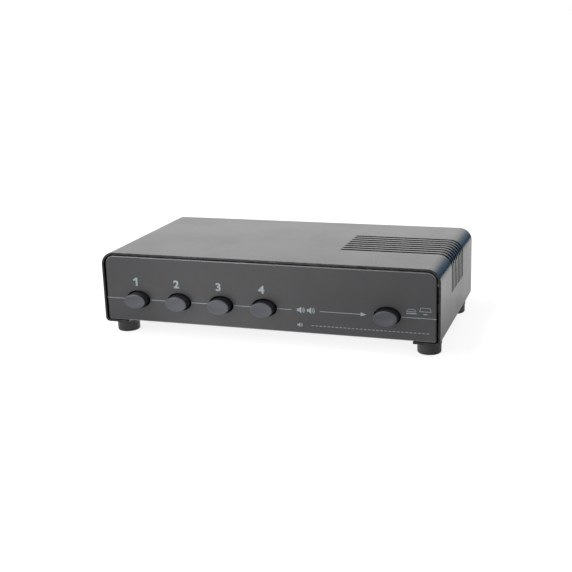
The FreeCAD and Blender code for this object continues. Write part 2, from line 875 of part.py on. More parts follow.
def make_board_standoffs():
    """Six round spacers between the pan's floor and the board."""
    body = new_body("board_standoffs")

    def draw(outline):
        for across, along in STANDOFFS:
            outline.circle(across, along, "standoff_radius")
            outline.circle(across, along, "screw_radius + screw_gap")

    pad(body, "spacers", "XY", PAN_FLOOR, BOARD_LOW, draw)


def make_board_screws():
    """Six screws down through the board into the spacers."""
    body = new_body("board_screws")
    head_top = f"({BOARD_TOP} + board_head_tall)"

    def heads(outline):
        for across, along in STANDOFFS:
            outline.circle(across, along, "board_head")

    def shanks(outline):
        for across, along in STANDOFFS:
            outline.circle(across, along, "screw_radius")

    pad(body, "heads", "XY", BOARD_TOP, head_top, heads)
    fillet(body, "domes", "board_head_tall / 2", lambda e: lies_at(e, "Z", head_top))
    pad(body, "shanks", "XY", f"{BOARD_TOP} - board_screw_long", BOARD_TOP, shanks)
    cross_recess(body, "XY", f"{head_top} - recess_deep", head_top, STANDOFFS, "board_head")


def make_resistor(label, along):
    """A cement body that its leads hold above the board."""
    body = new_body(f"protection_resistor_{label}")
    left = f"{RESISTOR_X} - resistor_long / 2"
    right = f"{RESISTOR_X} + resistor_long / 2"
    pad(
        body,
        "block",
        "YZ",
        left,
        right,
        lambda o: o.middle_rectangle(along, LEAD_Z, "resistor_wide", "resistor_tall"),
    )
    bevel(body, "edges", "resistor_bevel", lambda e: runs_along(e, "X"))


def make_resistor_leads():
    """Four bent leads, from the resistors' ends down through the board."""
    body = new_body("resistor_leads")
    bend_low = f"{LEAD_Z} - lead_bend"

    def uprights(outline):
        for across, along in LEADS:
            outline.circle(across, along, "lead_radius")

    pad(body, "uprights", "XY", f"{BOARD_LOW} - lead_below", bend_low, uprights)

    def stubs(outline):
        for _, along in RESISTORS:
            outline.circle(along, LEAD_Z, "lead_radius")

    for side, name in ((-1, "left"), (1, "right")):
        near = f"({RESISTOR_X} + {side} * resistor_long / 2)"
        far = f"({RESISTOR_X} + {side} * (resistor_long / 2 + lead_out))"
        inner = f"({far} - {side} * lead_bend)"
        low, high = (inner, near) if side < 0 else (near, inner)
        pad(body, f"{name}_stubs", "YZ", low, high, stubs)

        def bend_ends(outline):
            for _, along in RESISTORS:
                outline.circle(far, along, "lead_radius")

        turn(body, f"{name}_bends", bend_low, bend_ends, inner, -side, 90)


# ---- terminals -------------------------------------------------------------------------------

# A block and its levers are drawn about the block's own middle, where the rear wall's outer face is
# Y = 0, and the body's Placement carries them to their place.


def set_place(body, across):
    """Carry a body from the block's middle to its place on the rear wall."""
    bind(body, "Placement.Base.x", across)
    bind(body, "Placement.Base.y", REAR)
    bind(body, "Placement.Base.z", BLOCK_Z)


def make_terminal_block(label, number):
    """A flange on the rear wall, a hood outside it and a body inside, with four cavities."""
    body = new_body(f"terminal_block_{label}")
    box = lambda wide, tall: lambda o: o.middle_rectangle("0", "0", wide, tall)
    pad(body, "flange", "XZ", "0", "block_flange", box(BLOCK_WIDE, "block_tall"))
    fillet(body, "flange_corners", "block_corner", lambda e: runs_along(e, "Y"))
    pad(body, "hood", "XZ", "block_flange", "hood_deep", box(HOOD_WIDE, "hood_tall"))
    outside = lambda e: e.BoundBox.YMin > value("block_flange") - TOUCH
    fillet(body, "hood_corners", "hood_corner", lambda e: runs_along(e, "Y") and outside(e))
    pad(body, "inner", "XZ", "-body_deep", "0", box(HOOD_WIDE, "body_tall"))

    def cavities(outline):
        for pole in range(len(POLES)):
            outline.middle_rectangle(pole_place(pole), "0", WINDOW_WIDE, "2 * window_high")

    def windows(outline):
        for pole in range(len(POLES)):
            place = pole_place(pole)
            outline.rectangle(
                f"{place} - {WINDOW_WIDE} / 2", f"{place} + {WINDOW_WIDE} / 2", "window_low", "window_high"
            )

    def wire_holes(outline):
        for pole in range(len(POLES)):
            outline.circle(pole_place(pole), "-wire_drop", "wire_radius")

    def ear_holes(outline):
        for side in (f"-{EAR_PLACE}", EAR_PLACE):
            outline.circle(side, "0", "ear_screw + ear_gap")

    cut(body, "cavities", "XZ", "-body_deep", "-cavity_front", cavities)
    cut(body, "windows", "XZ", "-cavity_front", "hood_deep", windows)
    cut(body, "wire_holes", "XZ", "-cavity_front", "hood_deep", wire_holes)
    bevel(
        body,
        "wire_funnels",
        "wire_funnel",
        lambda e: isinstance(e.Curve, Part.Circle) and lies_at(e, "Y", "hood_deep"),
    )
    cut(body, "ear_holes", "XZ", "0", "block_flange", ear_holes)
    bore = lambda o: o.circle("0", "pivot_height", "pivot_radius + pivot_gap")
    cut(body, "pivot_bore", "YZ", f"-{HOOD_WIDE} / 2", f"{HOOD_WIDE} / 2", bore)
    set_place(body, block_place(number))


def make_terminal_lever(label, across):
    """A lever on two trunnions: a grooved tab outside, and inside an arm that opens the clamp."""
    body = new_body(f"lever_{label}")

    def profile(outline):
        corners = (
            ("-hub_half", "hub_half"),
            ("-arm_back", "-hub_half / 3"),
            ("-arm_back", "-arm_drop"),
            ("-arm_back + arm_thick", "-arm_drop"),
            ("-arm_back + arm_thick", "-2 * hub_half"),
            ("hub_half", "-hub_half"),
            ("2 * hub_half", "-hub_half / 3"),
            ("lever_reach - tab_nose", "tab_high - tab_thick"),
            ("lever_reach", "tab_high - tab_thick + tab_nose / 2"),
            ("lever_reach", "tab_high - tab_nose / 2"),
            ("lever_reach - tab_nose", "tab_high"),
            ("hub_half", "tab_high"),
        )
        outline.polygon([(along, f"pivot_height + {up}") for along, up in corners])

    pad(body, "arm", "YZ", f"-{LEVER_WIDE} / 2", f"{LEVER_WIDE} / 2", profile)

    def grooves(outline):
        for number in range(GRIP_GROOVES):
            place = f"(lever_reach - 2 * tab_nose - {number} * grip_pitch)"
            outline.middle_rectangle(place, "(pivot_height + tab_high)", "grip_wide", "2 * grip_deep")

    cut(body, "grip_grooves", "YZ", f"-{LEVER_WIDE} / 2", f"{LEVER_WIDE} / 2", grooves)
    trunnion = f"({LEVER_WIDE} / 2 + pivot_long)"
    pin = lambda o: o.circle("0", "pivot_height", "pivot_radius")
    pad(body, "trunnions", "YZ", f"-{trunnion}", trunnion, pin)
    set_place(body, across)


def make_terminal_contacts():
    """Twenty folded strips: an upright blade behind the wire hole, a foot and a tag in the board."""
    body = new_body("terminal_contacts")
    blade = f"({REAR} - blade_place)"
    tag_low = f"({BOARD_LOW} - tag_below)"
    blade_top = f"({BLOCK_Z} + blade_high)"

    def profile(outline):
        outline.polygon(
            [
                (blade, blade_top),
                (blade, STRIP_LOW),
                (TAG_FRONT, STRIP_LOW),
                (TAG_FRONT, tag_low),
                (f"{TAG_FRONT} - strip_thick", tag_low),
                (f"{TAG_FRONT} - strip_thick", f"{STRIP_LOW} + strip_thick"),
                (f"{blade} - strip_thick", f"{STRIP_LOW} + strip_thick"),
                (f"{blade} - strip_thick", blade_top),
            ]
        )

    for number, place in enumerate(CONTACTS, 1):
        pad(body, f"strip_{number}", "YZ", f"{place} - strip_wide / 2", f"{place} + strip_wide / 2", profile)

    def holes(outline):
        for place in CONTACTS:
            outline.circle(place, f"{BLOCK_Z} - wire_drop", "blade_hole / 2")

    cut(body, "wire_holes", "XZ", f"{blade} - strip_thick", blade, holes)


def make_terminal_screws():
    """Ten screws through the blocks' ears into the rear wall."""
    body = new_body("terminal_screws")
    seat = f"({REAR} + block_flange)"
    head_top = f"({seat} + ear_head_tall)"

    def heads(outline):
        for place in EARS:
            outline.circle(place, BLOCK_Z, "ear_head")

    def shanks(outline):
        for place in EARS:
            outline.circle(place, BLOCK_Z, "ear_screw")

    pad(body, "heads", "XZ", seat, head_top, heads)
    fillet(body, "domes", "ear_head_tall / 2", lambda e: lies_at(e, "Y", head_top))
    pad(body, "shanks", "XZ", f"{seat} - ear_screw_long", seat, shanks)
    places = [(place, BLOCK_Z) for place in EARS]
    cross_recess(body, "XZ", f"{head_top} - recess_deep", head_top, places, "ear_head")


# ---- build, check and write ------------------------------------------------------------------


def check():
    """Stop at a failed object, a cut that removed nothing, or a sub-part without a valid shape."""
    for thing in doc.Objects:
        if "Invalid" in thing.State or "Error" in thing.State:
            raise RuntimeError(f"{thing.Name} failed: {thing.State}")
    for node in nodes:
        if node.Shape.isNull() or not node.Shape.isValid():
            raise RuntimeError(f"{node.Label} has no valid shape")
        features = [f for f in getattr(node, "Group", []) if f.isDerivedFrom("PartDesign::Feature")]
        for before, after in zip(features, features[1:]):
            if after.isDerivedFrom("PartDesign::Pocket") and after.Shape.Volume > before.Shape.Volume - TOUCH:
                raise RuntimeError(f"{after.Name} of {node.Label} cuts nothing")


make_top_cover()
make_base_pan()
make_front_fascia()
make_rubber_feet()
make_foot_screws()
for button, button_x in BUTTONS:
    make_button(button, button_x)
    make_plunger(button, button_x)
    make_return_spring(button, button_x)
    make_switch_housing(button, button_x)
make_switch_pins()
make_latch_wires()
make_circuit_board()
make_board_standoffs()
make_board_screws()
for channel_name, channel_y in RESISTORS:
    make_resistor(channel_name, channel_y)
make_resistor_leads()
for block_number, block in enumerate(BLOCKS):
    make_terminal_block(block, block_number)
    for pole_number, pole_name in enumerate(POLES):
        lever_x = f"{block_place(block_number)} + {pole_place(pole_number)}"
        make_terminal_lever(f"{block}_{pole_name}", lever_x)
make_terminal_contacts()
make_terminal_screws()
doc.recompute()
check()

os.makedirs("parts", exist_ok=True)
for node in nodes:
    node.Shape.exportStep(f"parts/{node.Label}.step")
    print(f"{node.Label}: {len(node.Shape.Solids)} solids, {node.Shape.Volume:.2f} mm3")
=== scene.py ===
"""Looks of a four-way loudspeaker selector box: its finishes, its print and the studio around it.

Lengths in the fields below are millimetres, and meshes are metres. The box stands on its feet at
Z = 0, its panel of push buttons faces -Y, and its wire terminals face +Y.
"""

import json
import logging
import math
from dataclasses import dataclass, field
from enum import Enum

import bmesh
import bpy
from mathutils import Matrix, Vector
from mathutils.geometry import delaunay_2d_cdt

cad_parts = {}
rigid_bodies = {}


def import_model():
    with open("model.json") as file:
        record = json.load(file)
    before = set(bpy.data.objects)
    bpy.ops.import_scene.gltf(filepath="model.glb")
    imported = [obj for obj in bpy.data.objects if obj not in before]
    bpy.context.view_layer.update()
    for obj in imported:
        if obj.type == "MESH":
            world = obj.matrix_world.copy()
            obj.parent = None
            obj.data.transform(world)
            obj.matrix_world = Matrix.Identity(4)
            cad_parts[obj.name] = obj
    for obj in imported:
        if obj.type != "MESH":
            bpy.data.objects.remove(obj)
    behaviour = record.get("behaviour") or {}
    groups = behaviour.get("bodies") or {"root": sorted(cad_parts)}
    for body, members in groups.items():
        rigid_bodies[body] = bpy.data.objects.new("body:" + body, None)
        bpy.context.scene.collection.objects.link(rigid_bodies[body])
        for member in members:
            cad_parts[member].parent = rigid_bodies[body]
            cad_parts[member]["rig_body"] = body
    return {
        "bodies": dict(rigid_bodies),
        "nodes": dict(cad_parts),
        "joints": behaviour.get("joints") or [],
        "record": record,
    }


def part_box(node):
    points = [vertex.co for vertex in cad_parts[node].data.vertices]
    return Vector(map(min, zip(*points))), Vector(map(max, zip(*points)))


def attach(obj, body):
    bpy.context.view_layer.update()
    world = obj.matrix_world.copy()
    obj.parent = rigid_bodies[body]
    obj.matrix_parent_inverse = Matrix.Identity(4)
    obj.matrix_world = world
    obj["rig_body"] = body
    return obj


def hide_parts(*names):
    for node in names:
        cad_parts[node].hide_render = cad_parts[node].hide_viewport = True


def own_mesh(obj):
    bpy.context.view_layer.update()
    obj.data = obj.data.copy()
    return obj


MM = 0.001
WELD = 0.002 * MM
FLAT_ANGLE = math.radians(0.4)
SMOOTH_ANGLE = math.radians(38)
LOG = logging.getLogger("selector")

Colour = tuple[float, float, float]
Place = tuple[float, float, float]
Loop = list[tuple[float, float]]
Shade = tuple[float, float, float, float, float, float]


# ---- node trees ------------------------------------------------------------------------------


class Relief(Enum):
    """The fine relief that a finish has."""

    PAINTED = "painted"
    MOULDED = "moulded"
    BRUSHED = "brushed"


class Tree:
    """Short calls that add nodes to a node tree and join them."""

    def __init__(self, tree: bpy.types.NodeTree) -> None:
        """Wrap a node tree.

        Args:
            tree: The tree to add to.
        """
        self.tree = tree

    def feed(self, socket: bpy.types.NodeSocket, value: object) -> None:
        """Join a socket to another one, or set its value.

        Args:
            socket: The input to feed.
            value: An output socket, a colour of three numbers, or the socket's own kind of value.
        """
        if isinstance(value, bpy.types.NodeSocket):
            self.tree.links.new(value, socket)
        elif socket.type == "RGBA":
            socket.default_value = (*value[:3], 1.0)
        else:
            socket.default_value = value

    def add(
        self, kind: str, *values: object, settings: dict | None = None, **named: object
    ) -> bpy.types.Node:
        """Add a node and feed its inputs.

        Args:
            kind: The node's type name.
            values: What feeds its inputs in order; None leaves an input as it is.
            settings: The node's own properties, set before its inputs.
            named: What feeds inputs by name, with _ for a space.

        Returns:
            The new node.
        """
        made = self.tree.nodes.new(kind)
        for name, value in (settings or {}).items():
            setattr(made, name, value)
        for number, value in enumerate(values):
            if value is not None:
                self.feed(made.inputs[number], value)
        for name, value in named.items():
            self.feed(made.inputs[name.replace("_", " ")], value)
        return made

    def math(self, operation: str, *values: object, clamp: bool = False) -> bpy.types.NodeSocket:
        """The result of a Math node."""
        node = self.add("ShaderNodeMath", *values, settings={"operation": operation, "use_clamp": clamp})
        return node.outputs[0]

    def ramp(self, value: object, low: float, high: float, to_low: float = 0, to_high: float = 1) -> object:
        """A value carried from one range to another, with soft ends."""
        settings = {"interpolation_type": "SMOOTHSTEP"}
        return self.add("ShaderNodeMapRange", value, low, high, to_low, to_high, settings=settings).outputs[0]

    def mix(self, factor: object, first: object, second: object) -> bpy.types.NodeSocket:
        """A colour between two colours.

        Args:
            factor: The second colour's share.
            first: The first colour.
            second: The second colour.

        Returns:
            The colour's socket.
        """
        node = self.add("ShaderNodeMix", settings={"data_type": "RGBA"})
        self.feed(node.inputs[0], factor)
        self.feed(node.inputs[6], first)
        self.feed(node.inputs[7], second)
        return node.outputs[2]

    def noise(self, vector: object, scale: object, detail: float = 3, rough: float = 0.5) -> object:
        """The value of a noise texture.

        Args:
            vector: The coordinates.
            scale: Its scale.
            detail: Its layers of detail.
            rough: How strong the finer layers are.

        Returns:
            The value's socket.
        """
        return self.add(
            "ShaderNodeTexNoise", Vector=vector, Scale=scale, Detail=detail, Roughness=rough
        ).outputs[0]

    def place(self) -> bpy.types.NodeSocket:
        """The object coordinates."""
        return self.add("ShaderNodeTexCoord").outputs["Object"]

    def apart(self, vector: object) -> object:
        """A vector's X, Y and Z by name."""
        return self.add("ShaderNodeSeparateXYZ", vector).outputs

    def upright(self, height: object) -> bpy.types.NodeSocket:
        """A vector along Z."""
        return self.add("ShaderNodeCombineXYZ", Z=height).outputs[0]

    def group(self, group: bpy.types.NodeTree, **named: object) -> bpy.types.Node:
        """A node that runs a shared shader group, its inputs fed by name."""
        return self.add("ShaderNodeGroup", settings={"node_tree": group}, **named)

    def close(self, out: bpy.types.Node, **results: object) -> bpy.types.NodeTree:
        """Feed the tree's outputs by name, and give the finished tree.

        Args:
            out: The tree's output node.
            results: What feeds each output.

        Returns:
            The finished tree.
        """
        for name, value in results.items():
            self.feed(out.inputs[name], value)
        return self.tree


SOCKETS = {"colour": "NodeSocketColor", "value": "NodeSocketFloat"}
RELIEF_IN = {"Scale": "value"}
RELIEF_OUT = {"Height": "value", "Mask": "value"}
DUST_COLOUR = (0.42, 0.41, 0.39)


def open_group(
    name: str, inputs: dict[str, str], outputs: dict[str, str]
) -> tuple[Tree, dict, bpy.types.Node]:
    """Start a shader node group.

    Args:
        name: The group's name.
        inputs: Its inputs' names with their kinds, "colour" or "value".
        outputs: Its outputs' names with their kinds.

    Returns:
        The tree, its inputs' sockets by name and the node that its outputs are fed on.
    """
    group = bpy.data.node_groups.new(name, "ShaderNodeTree")
    for names, way in ((inputs, "INPUT"), (outputs, "OUTPUT")):
        for label, kind in names.items():
            group.interface.new_socket(label, in_out=way, socket_type=SOCKETS[kind])
    tree = Tree(group)
    source = tree.add("NodeGroupInput")
    return tree, {label: source.outputs[label] for label in inputs}, tree.add("NodeGroupOutput")


class Effects:
    """The node groups that finishes share, each built once."""

    def __init__(self) -> None:
        """Build the groups."""
        self.relief = {
            Relief.PAINTED: self._painted(),
            Relief.MOULDED: self._moulded(),
            Relief.BRUSHED: self._brushed(),
        }
        self.drift = self._drift()
        self.dust = self._dust()
        self.edges = self._edges()

    @staticmethod
    def _painted() -> bpy.types.NodeTree:
        """Baked paint: a soft orange peel with a few fine pits.

        Returns:
            The group's tree.
        """
        tree, given, out = open_group("painted_relief", RELIEF_IN, RELIEF_OUT)
        place = tree.place()
        peel = tree.noise(place, given["Scale"], 2, 0.45)
        pits = tree.noise(place, tree.math("MULTIPLY", given["Scale"], 5.0), 1, 0.5)
        deep = tree.ramp(pits, 0.68, 0.8, 0, 0.35)
        return tree.close(out, Height=tree.math("SUBTRACT", peel, deep), Mask=peel)

    @staticmethod
    def _moulded() -> bpy.types.NodeTree:
        """Moulded plastic or rubber: a spark-eroded grain of two sizes.

        Returns:
            The group's tree.
        """
        tree, given, out = open_group("moulded_relief", RELIEF_IN, RELIEF_OUT)
        place = tree.place()
        cells = tree.add("ShaderNodeTexVoronoi", Vector=place, Scale=given["Scale"])
        fine = tree.noise(place, tree.math("MULTIPLY", given["Scale"], 2.3), 2, 0.6)
        height = tree.math("MULTIPLY_ADD", cells.outputs["Distance"], 0.6, fine)
        return tree.close(out, Height=height, Mask=fine)

    @staticmethod
    def _brushed() -> bpy.types.NodeTree:
        """Drawn or turned metal: fine lines across Z, with a few deeper ones.

        Returns:
            The group's tree.
        """
        tree, given, out = open_group("brushed_relief", RELIEF_IN, RELIEF_OUT)
        drawn = tree.add("ShaderNodeMapping", Vector=tree.place(), Scale=(1.0, 1.0, 14.0)).outputs[0]
        lines = tree.noise(drawn, given["Scale"], 3, 0.6)
        return tree.close(out, Height=lines, Mask=tree.ramp(lines, 0.35, 0.65))

    @staticmethod
    def _drift() -> bpy.types.NodeTree:
        """A slow drift between two near colours.

        Returns:
            The group's tree.
        """
        kinds = {"Colour": "colour", "Second Colour": "colour", "Scale": "value"}
        tree, given, out = open_group("colour_drift", kinds, {"Colour": "colour", "Mask": "value"})
        mask = tree.ramp(tree.noise(tree.place(), given["Scale"], 4, 0.55), 0.3, 0.7)
        return tree.close(out, Colour=tree.mix(mask, given["Colour"], given["Second Colour"]), Mask=mask)

    @staticmethod
    def _dust() -> bpy.types.NodeTree:
        """Specks and a thin film of dust, thicker on faces that look up.

        Returns:
            The group's tree.
        """
        kinds = {"Colour": "colour", "Roughness": "value", "Amount": "value"}
        tree, given, out = open_group("dust_film", kinds, {"Colour": "colour", "Roughness": "value"})
        coordinates = tree.add("ShaderNodeTexCoord").outputs
        facing = tree.ramp(tree.apart(coordinates["Normal"])["Z"], -0.4, 1.0, 0.25, 1.0)
        film = tree.ramp(tree.noise(coordinates["Object"], 55.0, 5, 0.65), 0.42, 0.75)
        specks = tree.ramp(tree.noise(coordinates["Object"], 2600.0, 1, 0.5), 0.7, 0.76)
        both = tree.math("MULTIPLY_ADD", specks, 1.5, film)
        share = tree.math("MULTIPLY", tree.math("MULTIPLY", both, facing), given["Amount"], clamp=True)
        rough = tree.math("MULTIPLY_ADD", share, 0.5, given["Roughness"])
        return tree.close(out, Colour=tree.mix(share, given["Colour"], DUST_COLOUR), Roughness=rough)

    @staticmethod
    def _edges() -> bpy.types.NodeTree:
        """Edges that handling has rubbed, broken up by noise; on the buttons' rims partly a painted
        highlight.

        Returns:
            The group's tree.
        """
        kinds = {"Colour": "colour", "Edge Colour": "colour", "Radius": "value", "Amount": "value"}
        tree, given, out = open_group("rubbed_edges_and_edge_light", kinds, {"Colour": "colour", "Mask": "value"})
        rounded = tree.add("ShaderNodeBevel", Radius=given["Radius"], settings={"samples": 6}).outputs[0]
        normal = tree.add("ShaderNodeNewGeometry").outputs["Normal"]
        dot = tree.add("ShaderNodeVectorMath", rounded, normal, settings={"operation": "DOT_PRODUCT"})
        edge = tree.ramp(dot.outputs["Value"], 0.985, 0.86)
        broken = tree.ramp(tree.noise(tree.place(), 420.0, 4, 0.6), 0.4, 0.62)
        mask = tree.math("MULTIPLY", tree.math("MULTIPLY", edge, broken), given["Amount"], clamp=True)
        return tree.close(out, Colour=tree.mix(mask, given["Colour"], given["Edge Colour"]), Mask=mask)


# ---- finishes --------------------------------------------------------------------------------


@dataclass(frozen=True)
class Finish:
    """A finish on one shader: a drifting colour, fine relief, rubbed edges with some painted light, and a
    film of dust.
    """

    slot: str
    colour: Colour
    second: Colour
    roughness: float
    relief: Relief
    relief_scale: float
    relief_depth: float
    rough_spread: float = 0.06
    metallic: float = 0.0
    ior: float = 1.5
    drift_scale: float = 30.0
    # The edge colour is rubbed wear; on the buttons' rims it is partly a painted highlight.
    edge_colour: Colour = (0.3, 0.3, 0.3)
    edge_radius: float = 0.3
    edge_amount: float = 0.25
    # Below 1 this is painted shade: the share of gloss kept along the edge mask, which dims reflections
    # there.
    painted_shade_edge_gloss: float = 1.0
    dust: float = 0.05

    def colour_nodes(self, tree: Tree, effects: Effects) -> tuple[object, object]:
        """The colour before dust, and a mask that moves the roughness.

        Args:
            tree: The material's tree.
            effects: The shared groups.

        Returns:
            The sockets of the colour and of the mask.
        """
        drift = tree.group(
            effects.drift, Colour=self.colour, Second_Colour=self.second, Scale=self.drift_scale
        )
        return drift.outputs["Colour"], drift.outputs["Mask"]

    def material(self, effects: Effects) -> bpy.types.Material:
        """Build the finish's material.

        Args:
            effects: The shared groups.

        Returns:
            The material.
        """
        made = bpy.data.materials.new(self.slot)
        made.use_nodes = True
        made.diffuse_color = (*self.colour, 1.0)
        tree = Tree(made.node_tree)
        shader = made.node_tree.nodes["Principled BSDF"]
        colour, spread = self.colour_nodes(tree, effects)
        edge_wear_and_light = tree.group(
            effects.edges,
            Colour=colour,
            Edge_Colour=self.edge_colour,
            Radius=self.edge_radius * MM,
            Amount=self.edge_amount,
        )
        relief = tree.group(effects.relief[self.relief], Scale=self.relief_scale)
        both = tree.math("ADD", spread, relief.outputs["Mask"])
        low, high = self.roughness - self.rough_spread, self.roughness + self.rough_spread
        rough = tree.ramp(both, 0.4, 1.6, low, high)
        film = tree.group(effects.dust, Colour=edge_wear_and_light.outputs["Colour"], Roughness=rough, Amount=self.dust)
        tree.feed(shader.inputs["Base Color"], film.outputs["Colour"])
        tree.feed(shader.inputs["Roughness"], film.outputs["Roughness"])
        # Painted shade: less gloss along the edge mask dims the reflections about edges and vents.
        if self.painted_shade_edge_gloss < 1:
            gloss = tree.ramp(edge_wear_and_light.outputs["Mask"], 0, 1, 0.5, 0.5 * self.painted_shade_edge_gloss)
            tree.feed(shader.inputs["Specular IOR Level"], gloss)
        shader.inputs["Metallic"].default_value = self.metallic
        shader.inputs["IOR"].default_value = self.ior
        bump = tree.add("ShaderNodeBump", Height=relief.outputs["Height"], Distance=self.relief_depth * MM)
        tree.feed(shader.inputs["Normal"], bump.outputs[0])
        return made


@dataclass(frozen=True)
class FacingPaintedLight(Finish):
    """Painted light or shade: a colour that differs where a face looks along an axis more, or less, than the
    rest.
    """

    # The colour of the painted highlight, or of the painted shade, on the faces that turn.
    other: Colour = (0.01, 0.01, 0.01)
    other_at: float = 0.3
    base_at: float = 0.8
    axis: str = "Y"

    def colour_nodes(self, tree: Tree, effects: Effects) -> tuple[object, object]:
        """The colour, the painted light or shade colour where the faces turn, and the drift's mask.

        Args:
            tree: The material's tree.
            effects: The shared groups.

        Returns:
            The sockets of the colour and of the mask.
        """
        base, spread = super().colour_nodes(tree, effects)
        normal = tree.add("ShaderNodeTexCoord").outputs["Normal"]
        facing = tree.math("ABSOLUTE", tree.apart(normal)[self.axis])
        return tree.mix(tree.ramp(facing, self.other_at, self.base_at), self.other, base), spread


@dataclass(frozen=True)
class Laminate(Finish):
    """Solder mask over a glass weave, with the tracks showing through as paler bands."""

    track_pitch: float = 5.0
    track_colour: Colour = (0.05, 0.26, 0.1)

    def colour_nodes(self, tree: Tree, effects: Effects) -> tuple[object, object]:
        """The mask's green, paler over a net of tracks, and the tracks' mask.

        Args:
            tree: The material's tree.
            effects: The shared groups.

        Returns:
            The sockets of the colour and of the mask.
        """
        base, spread = super().colour_nodes(tree, effects)
        bricks = tree.add(
            "ShaderNodeTexBrick",
            Vector=tree.place(),
            Scale=1 / (self.track_pitch * MM),
            Mortar_Size=0.16,
            Mortar_Smooth=0.1,
            Brick_Width=4.3,
            Row_Height=1.1,
        )
        track = bricks.outputs["Fac"]
        return tree.mix(track, base, self.track_colour), tree.math("ADD", spread, track)


@dataclass(frozen=True)
class Cement(Finish):
    """Cement-filled ceramic: chalky, with dark pores."""

    pore_scale: float = 900.0
    pore_colour: Colour = (0.36, 0.34, 0.3)

    def colour_nodes(self, tree: Tree, effects: Effects) -> tuple[object, object]:
        """The chalky colour with pores, and the pores' mask.

        Args:
            tree: The material's tree.
            effects: The shared groups.

        Returns:
            The sockets of the colour and of the mask.
        """
        base, spread = super().colour_nodes(tree, effects)
        pores = tree.ramp(tree.noise(tree.place(), self.pore_scale, 3, 0.7), 0.62, 0.72)
        return tree.mix(pores, base, self.pore_colour), tree.math("ADD", spread, pores)


@dataclass(frozen=True)
class Ink(Finish):
    """Screen-printed ink, a little thin where the screen's mesh shows."""

    mesh_scale: float = 5200.0
    thin_colour: Colour = (0.16, 0.17, 0.18)

    def colour_nodes(self, tree: Tree, effects: Effects) -> tuple[object, object]:
        """The ink's colour, darker where it is thin, and the thin places' mask.

        Args:
            tree: The material's tree.
            effects: The shared groups.

        Returns:
            The sockets of the colour and of the mask.
        """
        base, spread = super().colour_nodes(tree, effects)
        thin = tree.ramp(tree.noise(tree.place(), self.mesh_scale, 2, 0.6), 0.56, 0.7, 0, 0.55)
        return tree.mix(thin, base, self.thin_colour), tree.math("ADD", spread, thin)


